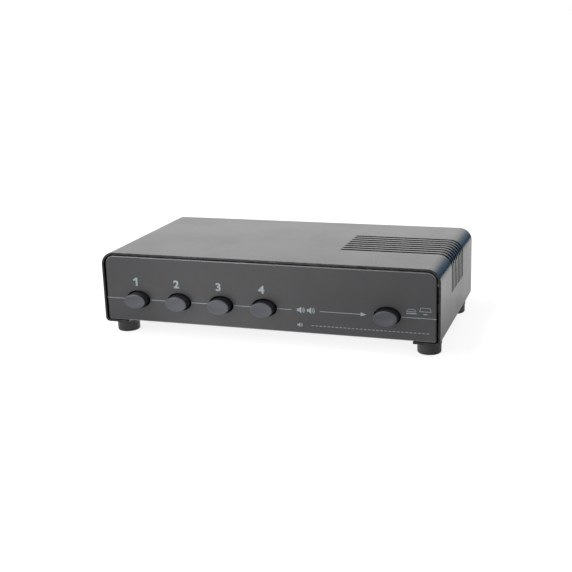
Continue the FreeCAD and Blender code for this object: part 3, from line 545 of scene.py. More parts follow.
FINISHES = (
    # Painted shade: faces that look along Y, the cut edges and the vents' walls, take the darker colour.
    FacingPaintedLight(
        "cover_paint", (0.02, 0.02, 0.022), (0.026, 0.026, 0.028), 0.24, Relief.PAINTED, 1500, 0.006,
        # Painted shade: the wide edge mask cuts the gloss about the cover's edges and vents.
        rough_spread=0.03, ior=1.62, drift_scale=22, edge_colour=(0.02, 0.02, 0.022), edge_radius=1.15,
        edge_amount=2.5, painted_shade_edge_gloss=0.1, dust=0.05,
        other=(0.006, 0.006, 0.006), other_at=0.95, base_at=0.6,
    ),
    Finish(
        "pan_steel", (0.016, 0.016, 0.017), (0.021, 0.021, 0.022), 0.42, Relief.PAINTED, 2200, 0.012,
        edge_colour=(0.22, 0.22, 0.22), dust=0.06,
    ),
    # Painted highlight: faces that look up or down, the plate's top and bottom bevels, take the lighter
    # colour.
    FacingPaintedLight(
        "fascia_plate", (0.055, 0.055, 0.058), (0.063, 0.063, 0.066), 0.34, Relief.PAINTED, 3200, 0.006,
        rough_spread=0.04, drift_scale=14, edge_colour=(0.26, 0.26, 0.27), edge_amount=0.35, dust=0.04,
        other=(0.27, 0.275, 0.285), other_at=0.5, base_at=0.12, axis="Z",
    ),
    # Painted shade: the caps' side walls, which look across Y, take the darker colour.
    FacingPaintedLight(
        "button_grey", (0.076, 0.081, 0.095), (0.088, 0.093, 0.108), 0.36, Relief.MOULDED, 5200, 0.006,
        # The lighter edge colour on the rims is partly a painted highlight and partly rubbed wear.
        drift_scale=120, edge_colour=(0.34, 0.35, 0.38), edge_radius=0.6, edge_amount=0.9, dust=0.06,
        other=(0.014, 0.015, 0.019), other_at=0.35, base_at=0.8,
    ),
    Finish(
        "stem_plastic", (0.72, 0.7, 0.64), (0.76, 0.74, 0.69), 0.4, Relief.MOULDED, 2600, 0.006,
        edge_colour=(0.85, 0.84, 0.8), dust=0.08,
    ),
    Finish("switch_plastic", (0.026, 0.026, 0.029), (0.034, 0.034, 0.037), 0.45, Relief.MOULDED, 3000, 0.012),
    Finish(
        "spring_steel", (0.5, 0.5, 0.51), (0.6, 0.59, 0.57), 0.26, Relief.BRUSHED, 900, 0.004,
        metallic=1.0, edge_amount=0.0, dust=0.03,
    ),
    Finish(
        "foot_rubber", (0.022, 0.022, 0.023), (0.03, 0.03, 0.031), 0.42, Relief.MOULDED, 2400, 0.018,
        rough_spread=0.1, drift_scale=150, edge_colour=(0.11, 0.11, 0.11), edge_radius=0.45, dust=0.07,
    ),
    Finish(
        "zinc_screw", (0.6, 0.6, 0.58), (0.66, 0.64, 0.56), 0.28, Relief.BRUSHED, 1400, 0.006,
        metallic=1.0, edge_colour=(0.8, 0.8, 0.78), edge_amount=0.3, dust=0.04,
    ),
    Laminate(
        "board_laminate", (0.012, 0.1, 0.038), (0.018, 0.125, 0.05), 0.28, Relief.PAINTED, 1800, 0.01,
        dust=0.12,
    ),
    Finish(
        "spacer_brass", (0.66, 0.52, 0.27), (0.72, 0.6, 0.36), 0.27, Relief.BRUSHED, 1200, 0.006,
        metallic=1.0, edge_colour=(0.85, 0.75, 0.5), dust=0.04,
    ),
    Cement("cement", (0.74, 0.73, 0.68), (0.8, 0.79, 0.75), 0.82, Relief.MOULDED, 1500, 0.05, dust=0.1),
    Finish(
        "tinned_copper", (0.64, 0.63, 0.6), (0.72, 0.7, 0.64), 0.24, Relief.BRUSHED, 1500, 0.004,
        metallic=1.0, edge_amount=0.0, dust=0.05,
    ),
    Finish(
        "terminal_black", (0.02, 0.02, 0.022), (0.028, 0.028, 0.03), 0.3, Relief.MOULDED, 2600, 0.008,
        edge_colour=(0.12, 0.12, 0.12), edge_radius=0.35, dust=0.06,
    ),
    Finish(
        "lever_red", (0.5, 0.014, 0.012), (0.58, 0.025, 0.018), 0.26, Relief.MOULDED, 2600, 0.006,
        edge_colour=(0.75, 0.2, 0.16), dust=0.05,
    ),
    Finish(
        "lever_black", (0.024, 0.024, 0.026), (0.032, 0.032, 0.034), 0.26, Relief.MOULDED, 2600, 0.006,
        edge_colour=(0.13, 0.13, 0.13), dust=0.05,
    ),
)
PRINT = Ink(
    "panel_ink", (0.38, 0.44, 0.465), (0.44, 0.495, 0.52), 0.55, Relief.PAINTED, 4000, 0.003,
    edge_amount=0.0, dust=0.03,
)


# ---- meshes ----------------------------------------------------------------------------------


def mesh_of(shape: bmesh.types.BMesh, name: str) -> bpy.types.Mesh:
    """Turn a bmesh into a mesh and free it.

    Args:
        shape: The bmesh.
        name: The mesh's name.

    Returns:
        The mesh.
    """
    mesh = bpy.data.meshes.new(name)
    shape.to_mesh(mesh)
    shape.free()
    return mesh


def put(name: str, data: bpy.types.ID) -> bpy.types.Object:
    """Make an object and put it in the scene.

    Args:
        name: The object's name.
        data: Its mesh, text, lamp or camera.

    Returns:
        The object.
    """
    made = bpy.data.objects.new(name, data)
    bpy.context.scene.collection.objects.link(made)
    return made


def refine(
    mesh: bpy.types.Mesh,
    bevel: float,
    segments: int = 2,
    tree: bpy.types.NodeTree | None = None,
    inputs: dict | None = None,
) -> bpy.types.Mesh:
    """Run a mesh through an optional Geometry Nodes tree, round its sharp edges and even its shading.

    Args:
        mesh: The mesh to start from.
        bevel: How far in the rounding starts, in millimetres; 0 leaves the edges sharp.
        segments: Faces across each rounded edge.
        tree: A Geometry Nodes tree that comes first, or None.
        inputs: The tree's inputs by name.

    Returns:
        A plain mesh with the result.
    """
    worker = put(mesh.name, mesh)
    if tree is not None:
        nodes = worker.modifiers.new("build", "NODES")
        nodes.node_group = tree
        for item in tree.interface.items_tree:
            if item.in_out == "INPUT" and item.name in (inputs or {}):
                nodes[item.identifier] = inputs[item.name]
    if bevel > 0:
        rounding = worker.modifiers.new("rounding", "BEVEL")
        rounding.width = bevel * MM
        rounding.segments = segments
        rounding.limit_method = "ANGLE"
        rounding.angle_limit = SMOOTH_ANGLE
        rounding.miter_outer = "MITER_ARC"
    evaluated = worker.evaluated_get(bpy.context.evaluated_depsgraph_get())
    rounded = bpy.data.meshes.new_from_object(evaluated)
    worker.modifiers.clear()
    worker.data = rounded
    rounded.shade_smooth()
    rounded.set_sharp_from_angle(angle=SMOOTH_ANGLE)
    even = worker.modifiers.new("even_shading", "WEIGHTED_NORMAL")
    even.keep_sharp = True
    evaluated = worker.evaluated_get(bpy.context.evaluated_depsgraph_get())
    result = bpy.data.meshes.new_from_object(evaluated)
    result.name = mesh.name
    bpy.data.objects.remove(worker)
    return result


def inside(point: Vector, loop: Loop) -> bool:
    """Whether a flat point lies inside a closed loop.

    Args:
        point: The point.
        loop: The loop's points.

    Returns:
        True where the point lies inside.
    """
    crossings = 0
    for (x0, y0), (x1, y1) in zip(loop, loop[1:] + loop[:1]):
        if (y0 > point.y) != (y1 > point.y) and point.x < x0 + (point.y - y0) / (y1 - y0) * (x1 - x0):
            crossings += 1
    return crossings % 2 == 1


def rounded_loop(left: float, right: float, low: float, high: float, radius: float, steps: int = 4) -> Loop:
    """A rectangle with rounded corners, anticlockwise.

    Args:
        left: Its low limit across.
        right: Its high limit across.
        low: Its low limit up.
        high: Its high limit up.
        radius: The corners' radius.
        steps: Straight pieces in each corner.

    Returns:
        The loop's points.
    """
    corners = ((right, low, -1), (right, high, 0), (left, high, 1), (left, low, 2))
    loop = []
    for across, up, quarter in corners:
        centre_x = across + (radius if across == left else -radius)
        centre_y = up + (radius if up == low else -radius)
        for step in range(steps + 1):
            angle = (quarter + step / steps) * math.pi / 2
            loop.append((centre_x + radius * math.cos(angle), centre_y + radius * math.sin(angle)))
    return loop


def circle_loop(across: float, up: float, radius: float, sides: int = 24) -> Loop:
    """A circle as a loop."""
    turns = [2 * math.pi * n / sides for n in range(sides)]
    return [(across + radius * math.cos(a), up + radius * math.sin(a)) for a in turns]


@dataclass
class FoldedSheet:
    """A flat pattern with holes, folded along lines that run the other way, with both its skins.

    path holds the fold's moves along the outer skin: a length for a straight run, or a radius and an
    angle in degrees for a bend, turning right. The pattern's first coordinate runs along that path,
    and its second is Y.
    """

    start: tuple[float, float]
    heading: float
    path: list[object]
    thick: float
    bend_steps: int = 14
    stations: list[tuple[float, Vector, Vector]] = field(default_factory=list)

    def __post_init__(self) -> None:
        """Walk the path and note each station: its distance, its point and its outward normal."""
        point = Vector(self.start)
        angle = math.radians(self.heading)
        travelled = 0.0
        self.stations = [(travelled, point.copy(), self.outward(angle))]
        for move in self.path:
            if isinstance(move, tuple):
                radius, turn = move[0], math.radians(move[1])
                centre = point - self.outward(angle) * radius
                for _ in range(self.bend_steps):
                    angle -= turn / self.bend_steps
                    travelled += radius * turn / self.bend_steps
                    point = centre + self.outward(angle) * radius
                    self.stations.append((travelled, point.copy(), self.outward(angle)))
            else:
                travelled += move
                point = point + Vector((math.cos(angle), math.sin(angle))) * move
                self.stations.append((travelled, point.copy(), self.outward(angle)))

    @staticmethod
    def outward(heading: float) -> Vector:
        """The outer skin's normal for a heading in radians."""
        return Vector((-math.sin(heading), math.cos(heading)))

    @property
    def length(self) -> float:
        """The pattern's length along the path."""
        return self.stations[-1][0]

    def skin(self, along: float, depth: float) -> Vector:
        """The folded place, across and up, of a distance along the path at a depth in the sheet.

        Args:
            along: The distance along the path.
            depth: How far below the outer skin.

        Returns:
            The place across and up.
        """
        for (first, low, low_out), (last, high, high_out) in zip(self.stations, self.stations[1:]):
            if along <= last + 1e-7:
                share = min(1.0, max(0.0, (along - first) / (last - first)))
                point = low.lerp(high, share)
                out = low_out.lerp(high_out, share).normalized()
                return point - out * depth
        raise ValueError(f"{along} is past the sheet's end")

    def build(self, name: str, front: float, back: float, corner: float, holes: list[Loop]) -> bpy.types.Mesh:
        """Cut the pattern, fold it and close its edges.

        Args:
            name: The mesh's name.
            front: The sheet's low Y.
            back: Its high Y.
            corner: The radius of the pattern's own corners.
            holes: Loops in the pattern's plane.

        Returns:
            The closed mesh.
        """
        outline = rounded_loop(0.0, self.length, front, back, corner)
        points, edges = [], []
        for loop in [outline, *holes]:
            first = len(points)
            points += [Vector(p) for p in loop]
            edges += [(first + n, first + (n + 1) % len(loop)) for n in range(len(loop))]
        for distance, _, _ in self.stations[1:-1]:
            edges.append((len(points), len(points) + 1))
            points += [Vector((distance, front)), Vector((distance, back))]
        flat, _, faces, *_ = delaunay_2d_cdt(points, edges, [], 1, 1e-6)
        shape = bmesh.new()
        skins = []
        for depth in (0.0, self.thick):
            places = [self.skin(p.x, depth) for p in flat]
            skins.append([shape.verts.new((s.x * MM, p.y * MM, s.y * MM)) for s, p in zip(places, flat)])
        used = {}
        for face in faces:
            middle = sum((flat[n] for n in face), Vector((0, 0))) / len(face)
            if any(inside(middle, hole) for hole in holes) or not inside(middle, outline):
                continue
            shape.faces.new([skins[0][n] for n in face])
            shape.faces.new([skins[1][n] for n in reversed(face)])
            for pair in zip(face, face[1:] + face[:1]):
                used[frozenset(pair)] = None if frozenset(pair) in used else pair
        for pair in filter(None, used.values()):
            low, high = pair
            shape.faces.new([skins[0][high], skins[0][low], skins[1][low], skins[1][high]])
        loose = [v for v in shape.verts if not v.link_faces]
        bmesh.ops.delete(shape, geom=loose, context="VERTS")
        bmesh.ops.dissolve_limit(shape, angle_limit=FLAT_ANGLE, verts=shape.verts, edges=shape.edges)
        bmesh.ops.connect_verts_concave(shape, faces=shape.faces)
        bmesh.ops.recalc_face_normals(shape, faces=shape.faces)
        return mesh_of(shape, name)


class Frame:
    """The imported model: its nodes, its bodies and the pieces of solid in each node."""

    def __init__(self) -> None:
        """Load the model."""
        self.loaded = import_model()
        self.nodes = self.loaded["nodes"]
        self.slots = {part["node"]: part["material_slot"] for part in self.loaded["record"]["subparts"]}

    def body(self, node: str) -> str:
        """The body that a node rides on."""
        return self.nodes[node]["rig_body"]

    def box(self, node: str) -> tuple[Vector, Vector]:
        """A node's low and high corners in millimetres."""
        low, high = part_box(node)
        return low / MM, high / MM

    def welded(self, node: str) -> bmesh.types.BMesh:
        """A copy of a node's mesh, joined up, its flat stretches as a few convex faces.

        Args:
            node: The node's name.

        Returns:
            The copy, which the caller frees.
        """
        shape = bmesh.new()
        shape.from_mesh(self.nodes[node].data)
        bmesh.ops.remove_doubles(shape, verts=shape.verts, dist=WELD)
        bmesh.ops.dissolve_limit(shape, angle_limit=FLAT_ANGLE, verts=shape.verts, edges=shape.edges)
        bmesh.ops.connect_verts_concave(shape, faces=shape.faces)
        return shape

    def solids(self, node: str) -> list[tuple[Vector, Vector]]:
        """The corners, in millimetres, of each separate solid of a node, in order of X, then Y.

        Args:
            node: The node's name.

        Returns:
            The low and the high corner of each solid.
        """
        shape = self.welded(node)
        waiting = set(shape.verts)
        found = []
        while waiting:
            edge_of_search = [waiting.pop()]
            members = list(edge_of_search)
            while edge_of_search:
                vertex = edge_of_search.pop()
                near = {edge.other_vert(vertex) for edge in vertex.link_edges} & waiting
                waiting -= near
                edge_of_search += near
                members += near
            lows = Vector([min(v.co[axis] for v in members) for axis in range(3)])
            highs = Vector([max(v.co[axis] for v in members) for axis in range(3)])
            found.append((lows / MM, highs / MM))
        shape.free()
        return sorted(found, key=lambda pair: tuple(round(c, 2) for c in pair[0]))


@dataclass
class Builder:
    """What every sub-assembly needs to make its pieces: the frame and the materials."""

    frame: Frame
    effects: Effects
    materials: dict[str, bpy.types.Material]

    def piece(
        self, name: str, mesh: bpy.types.Mesh, slot: str, body: str, *replaced: str
    ) -> bpy.types.Object:
        """Put a finished mesh in the scene as a piece of the object.

        Args:
            name: The piece's name.
            mesh: Its mesh, in place.
            slot: The finish that it takes.
            body: The body that it rides on.
            replaced: The nodes that it stands for.

        Returns:
            The piece.
        """
        made = put(name, mesh)
        mesh.materials.clear()
        mesh.materials.append(self.materials[slot])
        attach(made, body)
        if replaced:
            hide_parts(*replaced)
        LOG.info("%s: %d faces on %s", name, len(mesh.polygons), body)
        return made

    def dressed(self, name: str, node: str, bevel: float, segments: int = 2) -> bpy.types.Object:
        """A piece with a node's own shape, its edges rounded and its shading even.

        Args:
            name: The piece's name.
            node: The node that it stands for.
            bevel: The rounding of its edges, in millimetres.
            segments: Faces across each rounded edge.

        Returns:
            The piece.
        """
        mesh = refine(mesh_of(self.frame.welded(node), name), bevel, segments)
        return self.piece(name, mesh, self.frame.slots[node], self.frame.body(node), node)


# ---- case ------------------------------------------------------------------------------------


@dataclass
class Case:
    """The folded cover with its vents, and the pan inside it."""

    sheet: float = 1.2
    high_radius: float = 7.5
    low_radius: float = 2.5
    flange: float = 15.0
    vents: int = 8
    vent_wide: float = 2.4
    vent_pitch: float = 4.94
    vent_middle: float = 0.4
    vent_left: float = 35.8
    vent_low: float = 28.2
    vent_corner: float = 0.5
    screw_hole: float = 1.55
    edge: float = 0.08

    def build(self, builder: Builder) -> None:
        """Make the cover and the pan.

        Args:
            builder: The frame and the materials.
        """
        low, high = builder.frame.box("top_cover")
        side = high.x
        flat_side = high.z - low.z - self.high_radius - self.low_radius
        flat_top = 2 * (side - self.high_radius)
        flat_flange = self.flange - self.low_radius
        half_path = [flat_flange, (self.low_radius, 90), flat_side, (self.high_radius, 90)]
        cover = FoldedSheet(
            start=(-side + self.flange, low.z),
            heading=180,
            path=[*half_path, flat_top, *reversed(half_path)],
            thick=self.sheet,
        )
        quarter = math.pi / 2
        top_start = flat_flange + quarter * (self.low_radius + self.high_radius) + flat_side
        vent_start = top_start + self.vent_left + side - self.high_radius
        right_start = top_start + flat_top + quarter * self.high_radius
        vent_end = right_start + high.z - self.high_radius - self.vent_low
        holes = []
        for number in range(self.vents):
            offset = (number - (self.vents - 1) / 2) * self.vent_pitch
            middle = (low.y + high.y) / 2 + self.vent_middle + offset
            half = self.vent_wide / 2
            vent = rounded_loop(vent_start, vent_end, middle - half, middle + half, self.vent_corner, 3)
            holes.append(vent)
        for foot_low, foot_high in builder.frame.solids("foot_screws"):
            centre = (foot_low + foot_high) / 2
            along = self.flange - (side - abs(centre.x))
            if centre.x > 0:
                along = cover.length - along
            holes.append(circle_loop(along, centre.y, self.screw_hole))
        mesh = cover.build("cover_sheet", low.y, high.y, self.edge, holes)
        mesh = refine(mesh, self.edge)
        builder.piece("cover_sheet", mesh, "cover_paint", "root", "top_cover")
        builder.dressed("base_sheet", "base_pan", 0.12)


# ---- turned parts ----------------------------------------------------------------------------


def add_input(tree: Tree, name: str, kind: str = "NodeSocketFloat") -> None:
    """Add a named input to a Geometry Nodes tree."""
    tree.tree.interface.new_socket(name, in_out="INPUT", socket_type=kind)


class PlacedParts:
    """Geometry Nodes trees that make one part from its sizes and set a copy at each point."""

    def __init__(self, name: str, sizes: tuple[str, ...]) -> None:
        """Open a tree with a geometry input and named sizes.

        Args:
            name: The tree's name.
            sizes: The names of its sizes, with lengths in metres.
        """
        self.tree = Tree(bpy.data.node_groups.new(name, "GeometryNodeTree"))
        add_input(self.tree, "Places", "NodeSocketGeometry")
        for size in sizes:
            add_input(self.tree, size)
        add_input(self.tree, "Seed", "NodeSocketInt")
        add_input(self.tree, "Finish", "NodeSocketMaterial")
        self.tree.tree.interface.new_socket("Parts", in_out="OUTPUT", socket_type="NodeSocketGeometry")
        self.given = self.tree.add("NodeGroupInput").outputs

    def cylinder(
        self, radius: object, low: object, high: object, sides: int = 40, top: object = None
    ) -> object:
        """A cylinder, or a cone where the top has a radius of its own, between two heights.

        Args:
            radius: The low end's radius.
            low: The low end's height.
            high: The high end's height.
            sides: Faces round it.
            top: The high end's radius, or None for the same as the low end's.

        Returns:
            The geometry's socket.
        """
        tree = self.tree
        tall = tree.math("SUBTRACT", high, low)
        cone = tree.add(
            "GeometryNodeMeshCone",
            Vertices=sides,
            Radius_Top=radius if top is None else top,
            Radius_Bottom=radius,
            Depth=tall,
        ).outputs["Mesh"]
        return tree.add("GeometryNodeTransform", cone, Translation=tree.upright(low)).outputs[0]

    def box(self, wide: object, deep: object, low: object, high: object) -> object:
        """A box about the axis, between two heights.

        Args:
            wide: Its size along X.
            deep: Its size along Y.
            low: The low end's height.
            high: The high end's height.

        Returns:
            The geometry's socket.
        """
        tree = self.tree
        size = tree.add("ShaderNodeCombineXYZ", wide, deep, tree.math("SUBTRACT", high, low)).outputs[0]
        cube = tree.add("GeometryNodeMeshCube", Size=size).outputs["Mesh"]
        middle = tree.math("MULTIPLY", tree.math("ADD", high, low), 0.5)
        return tree.add("GeometryNodeTransform", cube, Translation=tree.upright(middle)).outputs[0]

    def join(self, operation: str, first: object, *others: object) -> object:
        """The union of several solids, or the first less the others.

        Args:
            operation: "UNION" or "DIFFERENCE".
            first: The first solid.
            others: The other solids.

        Returns:
            The geometry's socket.
        """
        node = self.tree.add("GeometryNodeMeshBoolean", settings={"operation": operation, "solver": "EXACT"})
        if operation == "DIFFERENCE":
            self.tree.feed(node.inputs["Mesh 1"], first)
            rest = others
        else:
            rest = (first, *others)
        for other in rest:
            self.tree.tree.links.new(other, node.inputs["Mesh 2"])
        return node.outputs["Mesh"]

    def close(self, part: object, spin: float = 0.0) -> bpy.types.NodeTree:
        """Set the part at each point, turned at random by up to spin radians, and end the tree.

        Args:
            part: The part's geometry.
            spin: The widest random turn about Z.

        Returns:
            The finished tree.
        """
        tree = self.tree
        points = tree.add("GeometryNodeMeshToPoints", self.given["Places"]).outputs[0]
        turn = tree.add("FunctionNodeRandomValue", settings={"data_type": "FLOAT"})
        turn.inputs[2].default_value = -spin
        turn.inputs[3].default_value = spin
        tree.feed(turn.inputs["Seed"], self.given["Seed"])
        euler = tree.add("FunctionNodeEulerToRotation", tree.upright(turn.outputs[1])).outputs[0]
        placed = tree.add("GeometryNodeInstanceOnPoints", Points=points, Instance=part, Rotation=euler)
        real = tree.add("GeometryNodeRealizeInstances", placed.outputs[0]).outputs[0]
        done = tree.add("GeometryNodeSetMaterial", real, Material=self.given["Finish"]).outputs[0]
        return tree.close(tree.add("NodeGroupOutput"), Parts=done)


def points_mesh(name: str, places: list[Vector]) -> bpy.types.Mesh:
    """A mesh of loose points, from places in millimetres.

    Args:
        name: The mesh's name.
        places: Where the points are.

    Returns:
        The mesh.
    """
    mesh = bpy.data.meshes.new(name)
    mesh.from_pydata([tuple(place * MM) for place in places], [], [])
    return mesh


@dataclass
class Screws:
    """Pan head screws with a cross recess, a group at a time."""

    recess_wide: float = 0.7
    recess_deep: float = 0.9
    recess_reach: float = 1.15
    recess_past: float = 0.2
    dome: float = 0.72
    crown: float = 0.5
    shank_share: float = 0.52
    shank_sides: int = 24
    edge: float = 0.12

    def tree(self) -> bpy.types.NodeTree:
        """The Geometry Nodes tree of a screw that stands head up, its seat at Z = 0.

        Returns:
            The finished tree.
        """
        sizes = ("Head Radius", "Head Height", "Shank Radius", "Shank Length", "Thread Pitch")
        parts = PlacedParts("cross_screws", sizes)
        tree, given = parts.tree, parts.given
        head, tall, shank = given["Head Radius"], given["Head Height"], given["Shank Radius"]
        crown = tree.math("MULTIPLY", tall, self.crown)
        rim = parts.cylinder(head, 0.0, crown)
        dome = parts.cylinder(head, crown, tall, top=tree.math("MULTIPLY", head, self.dome))
        low = tree.math("MULTIPLY", given["Shank Length"], -1.0)
        shaft = parts.cylinder(shank, low, tree.math("MULTIPLY", crown, 0.5), self.shank_sides)
        solid = parts.join("UNION", rim, dome, shaft)
        floor = tree.math("SUBTRACT", tall, self.recess_deep * MM)
        past = tree.math("ADD", tall, self.recess_past * MM)
        reach = tree.math("MULTIPLY", head, self.recess_reach)
        across = parts.box(reach, self.recess_wide * MM, floor, past)
        along = parts.box(self.recess_wide * MM, reach, floor, past)
        cut = parts.join("DIFFERENCE", solid, across, along)
        return parts.close(cut, math.pi)

    def group(
        self, builder: Builder, name: str, node: str, head: float, tall: float, turn: Matrix, seed: int
    ) -> None:
        """Make the screws of one node.

        Args:
            builder: The frame and the materials.
            name: The piece's name.
            node: The node that it stands for.
            head: The heads' radius.
            tall: The heads' height.
            turn: The turn that carries +Z to the way the heads face.
            seed: The seed of their random turns.
        """
        out = turn @ Vector((0, 0, 1))
        places = []
        for low, high in builder.frame.solids(node):
            middle, half = (low + high) / 2, (high - low) / 2
            reach = sum(abs(out[axis]) * half[axis] for axis in range(3))
            seat = middle + out * (reach - tall)
            places.append(turn.inverted() @ seat)
            length = 2 * reach - tall
        across = min(half[axis] for axis in range(3) if abs(out[axis]) < 0.5)
        shank = across * self.shank_share
        inputs = {
            "Head Radius": head * MM,
            "Head Height": tall * MM,
            "Shank Radius": shank * MM,
            "Shank Length": length * MM,
            "Seed": seed,
            "Finish": builder.materials["zinc_screw"],
        }
        mesh = refine(points_mesh(name, places), self.edge, 2, self.tree(), inputs)
        mesh.transform(turn)
        builder.piece(name, mesh, "zinc_screw", "root", node)


@dataclass
class Feet:
    """Four moulded feet with a rim above, a plain waist and a bevel below."""

    rim: float = 2.6
    waist: float = 0.3
    bevel: float = 0.6
    recess: float = 3.6
    recess_deep: float = 3.5
    bore: float = 1.55
    sides: int = 56
    bore_sides: int = 24
    overlap: float = 0.02
    past: float = 1.0
    edge: float = 0.16

    def build(self, builder: Builder) -> None:
        """Make the feet.

        Args:
            builder: The frame and the materials.
        """
        parts = PlacedParts("moulded_feet", ("Radius", "Height", "Waist", "Bevel"))
        tree, given = parts.tree, parts.given
        radius, tall = given["Radius"], given["Height"]
        slim = tree.math("SUBTRACT", radius, given["Waist"])
        tip = tree.math("SUBTRACT", slim, given["Bevel"])
        shoulder = tree.math("SUBTRACT", tall, self.rim * MM)
        soft = tree.math("SUBTRACT", shoulder, given["Waist"])
        joined = tree.math("ADD", shoulder, self.overlap * MM)
        body = parts.cylinder(slim, given["Bevel"], joined, self.sides)
        flare = parts.cylinder(slim, soft, shoulder, self.sides, top=radius)
        crown = parts.cylinder(radius, shoulder, tall, self.sides)
        base = parts.cylinder(tip, 0.0, given["Bevel"], self.sides, top=slim)
        solid = parts.join("UNION", crown, flare, body, base)
        recess = parts.cylinder(self.recess * MM, -self.past * MM, self.recess_deep * MM)
        bore_top = tree.math("ADD", tall, self.past * MM)
        bore = parts.cylinder(self.bore * MM, 0.0, bore_top, self.bore_sides)
        cut = parts.join("DIFFERENCE", solid, recess, bore)
        solids = builder.frame.solids("rubber_feet")
        places = [Vector(((low.x + high.x) / 2, (low.y + high.y) / 2, low.z)) for low, high in solids]
        low, high = solids[0]
        inputs = {
            "Radius": (high.x - low.x) / 2 * MM,
            "Height": (high.z - low.z) * MM,
            "Waist": self.waist * MM,
            "Bevel": self.bevel * MM,
            "Finish": builder.materials["foot_rubber"],
        }
        mesh = refine(points_mesh("moulded_feet", places), self.edge, 3, parts.close(cut), inputs)
        builder.piece("moulded_feet", mesh, "foot_rubber", "root", "rubber_feet")


# ---- front panel -----------------------------------------------------------------------------


@dataclass(frozen=True)
class ButtonPicture:
    """A button seen from the side: a mark on a thin strip, and the limits of a bar below it."""

    left: float
    right: float
    low: float
    high: float
    slant: float
    under: tuple[float, float, float, float]


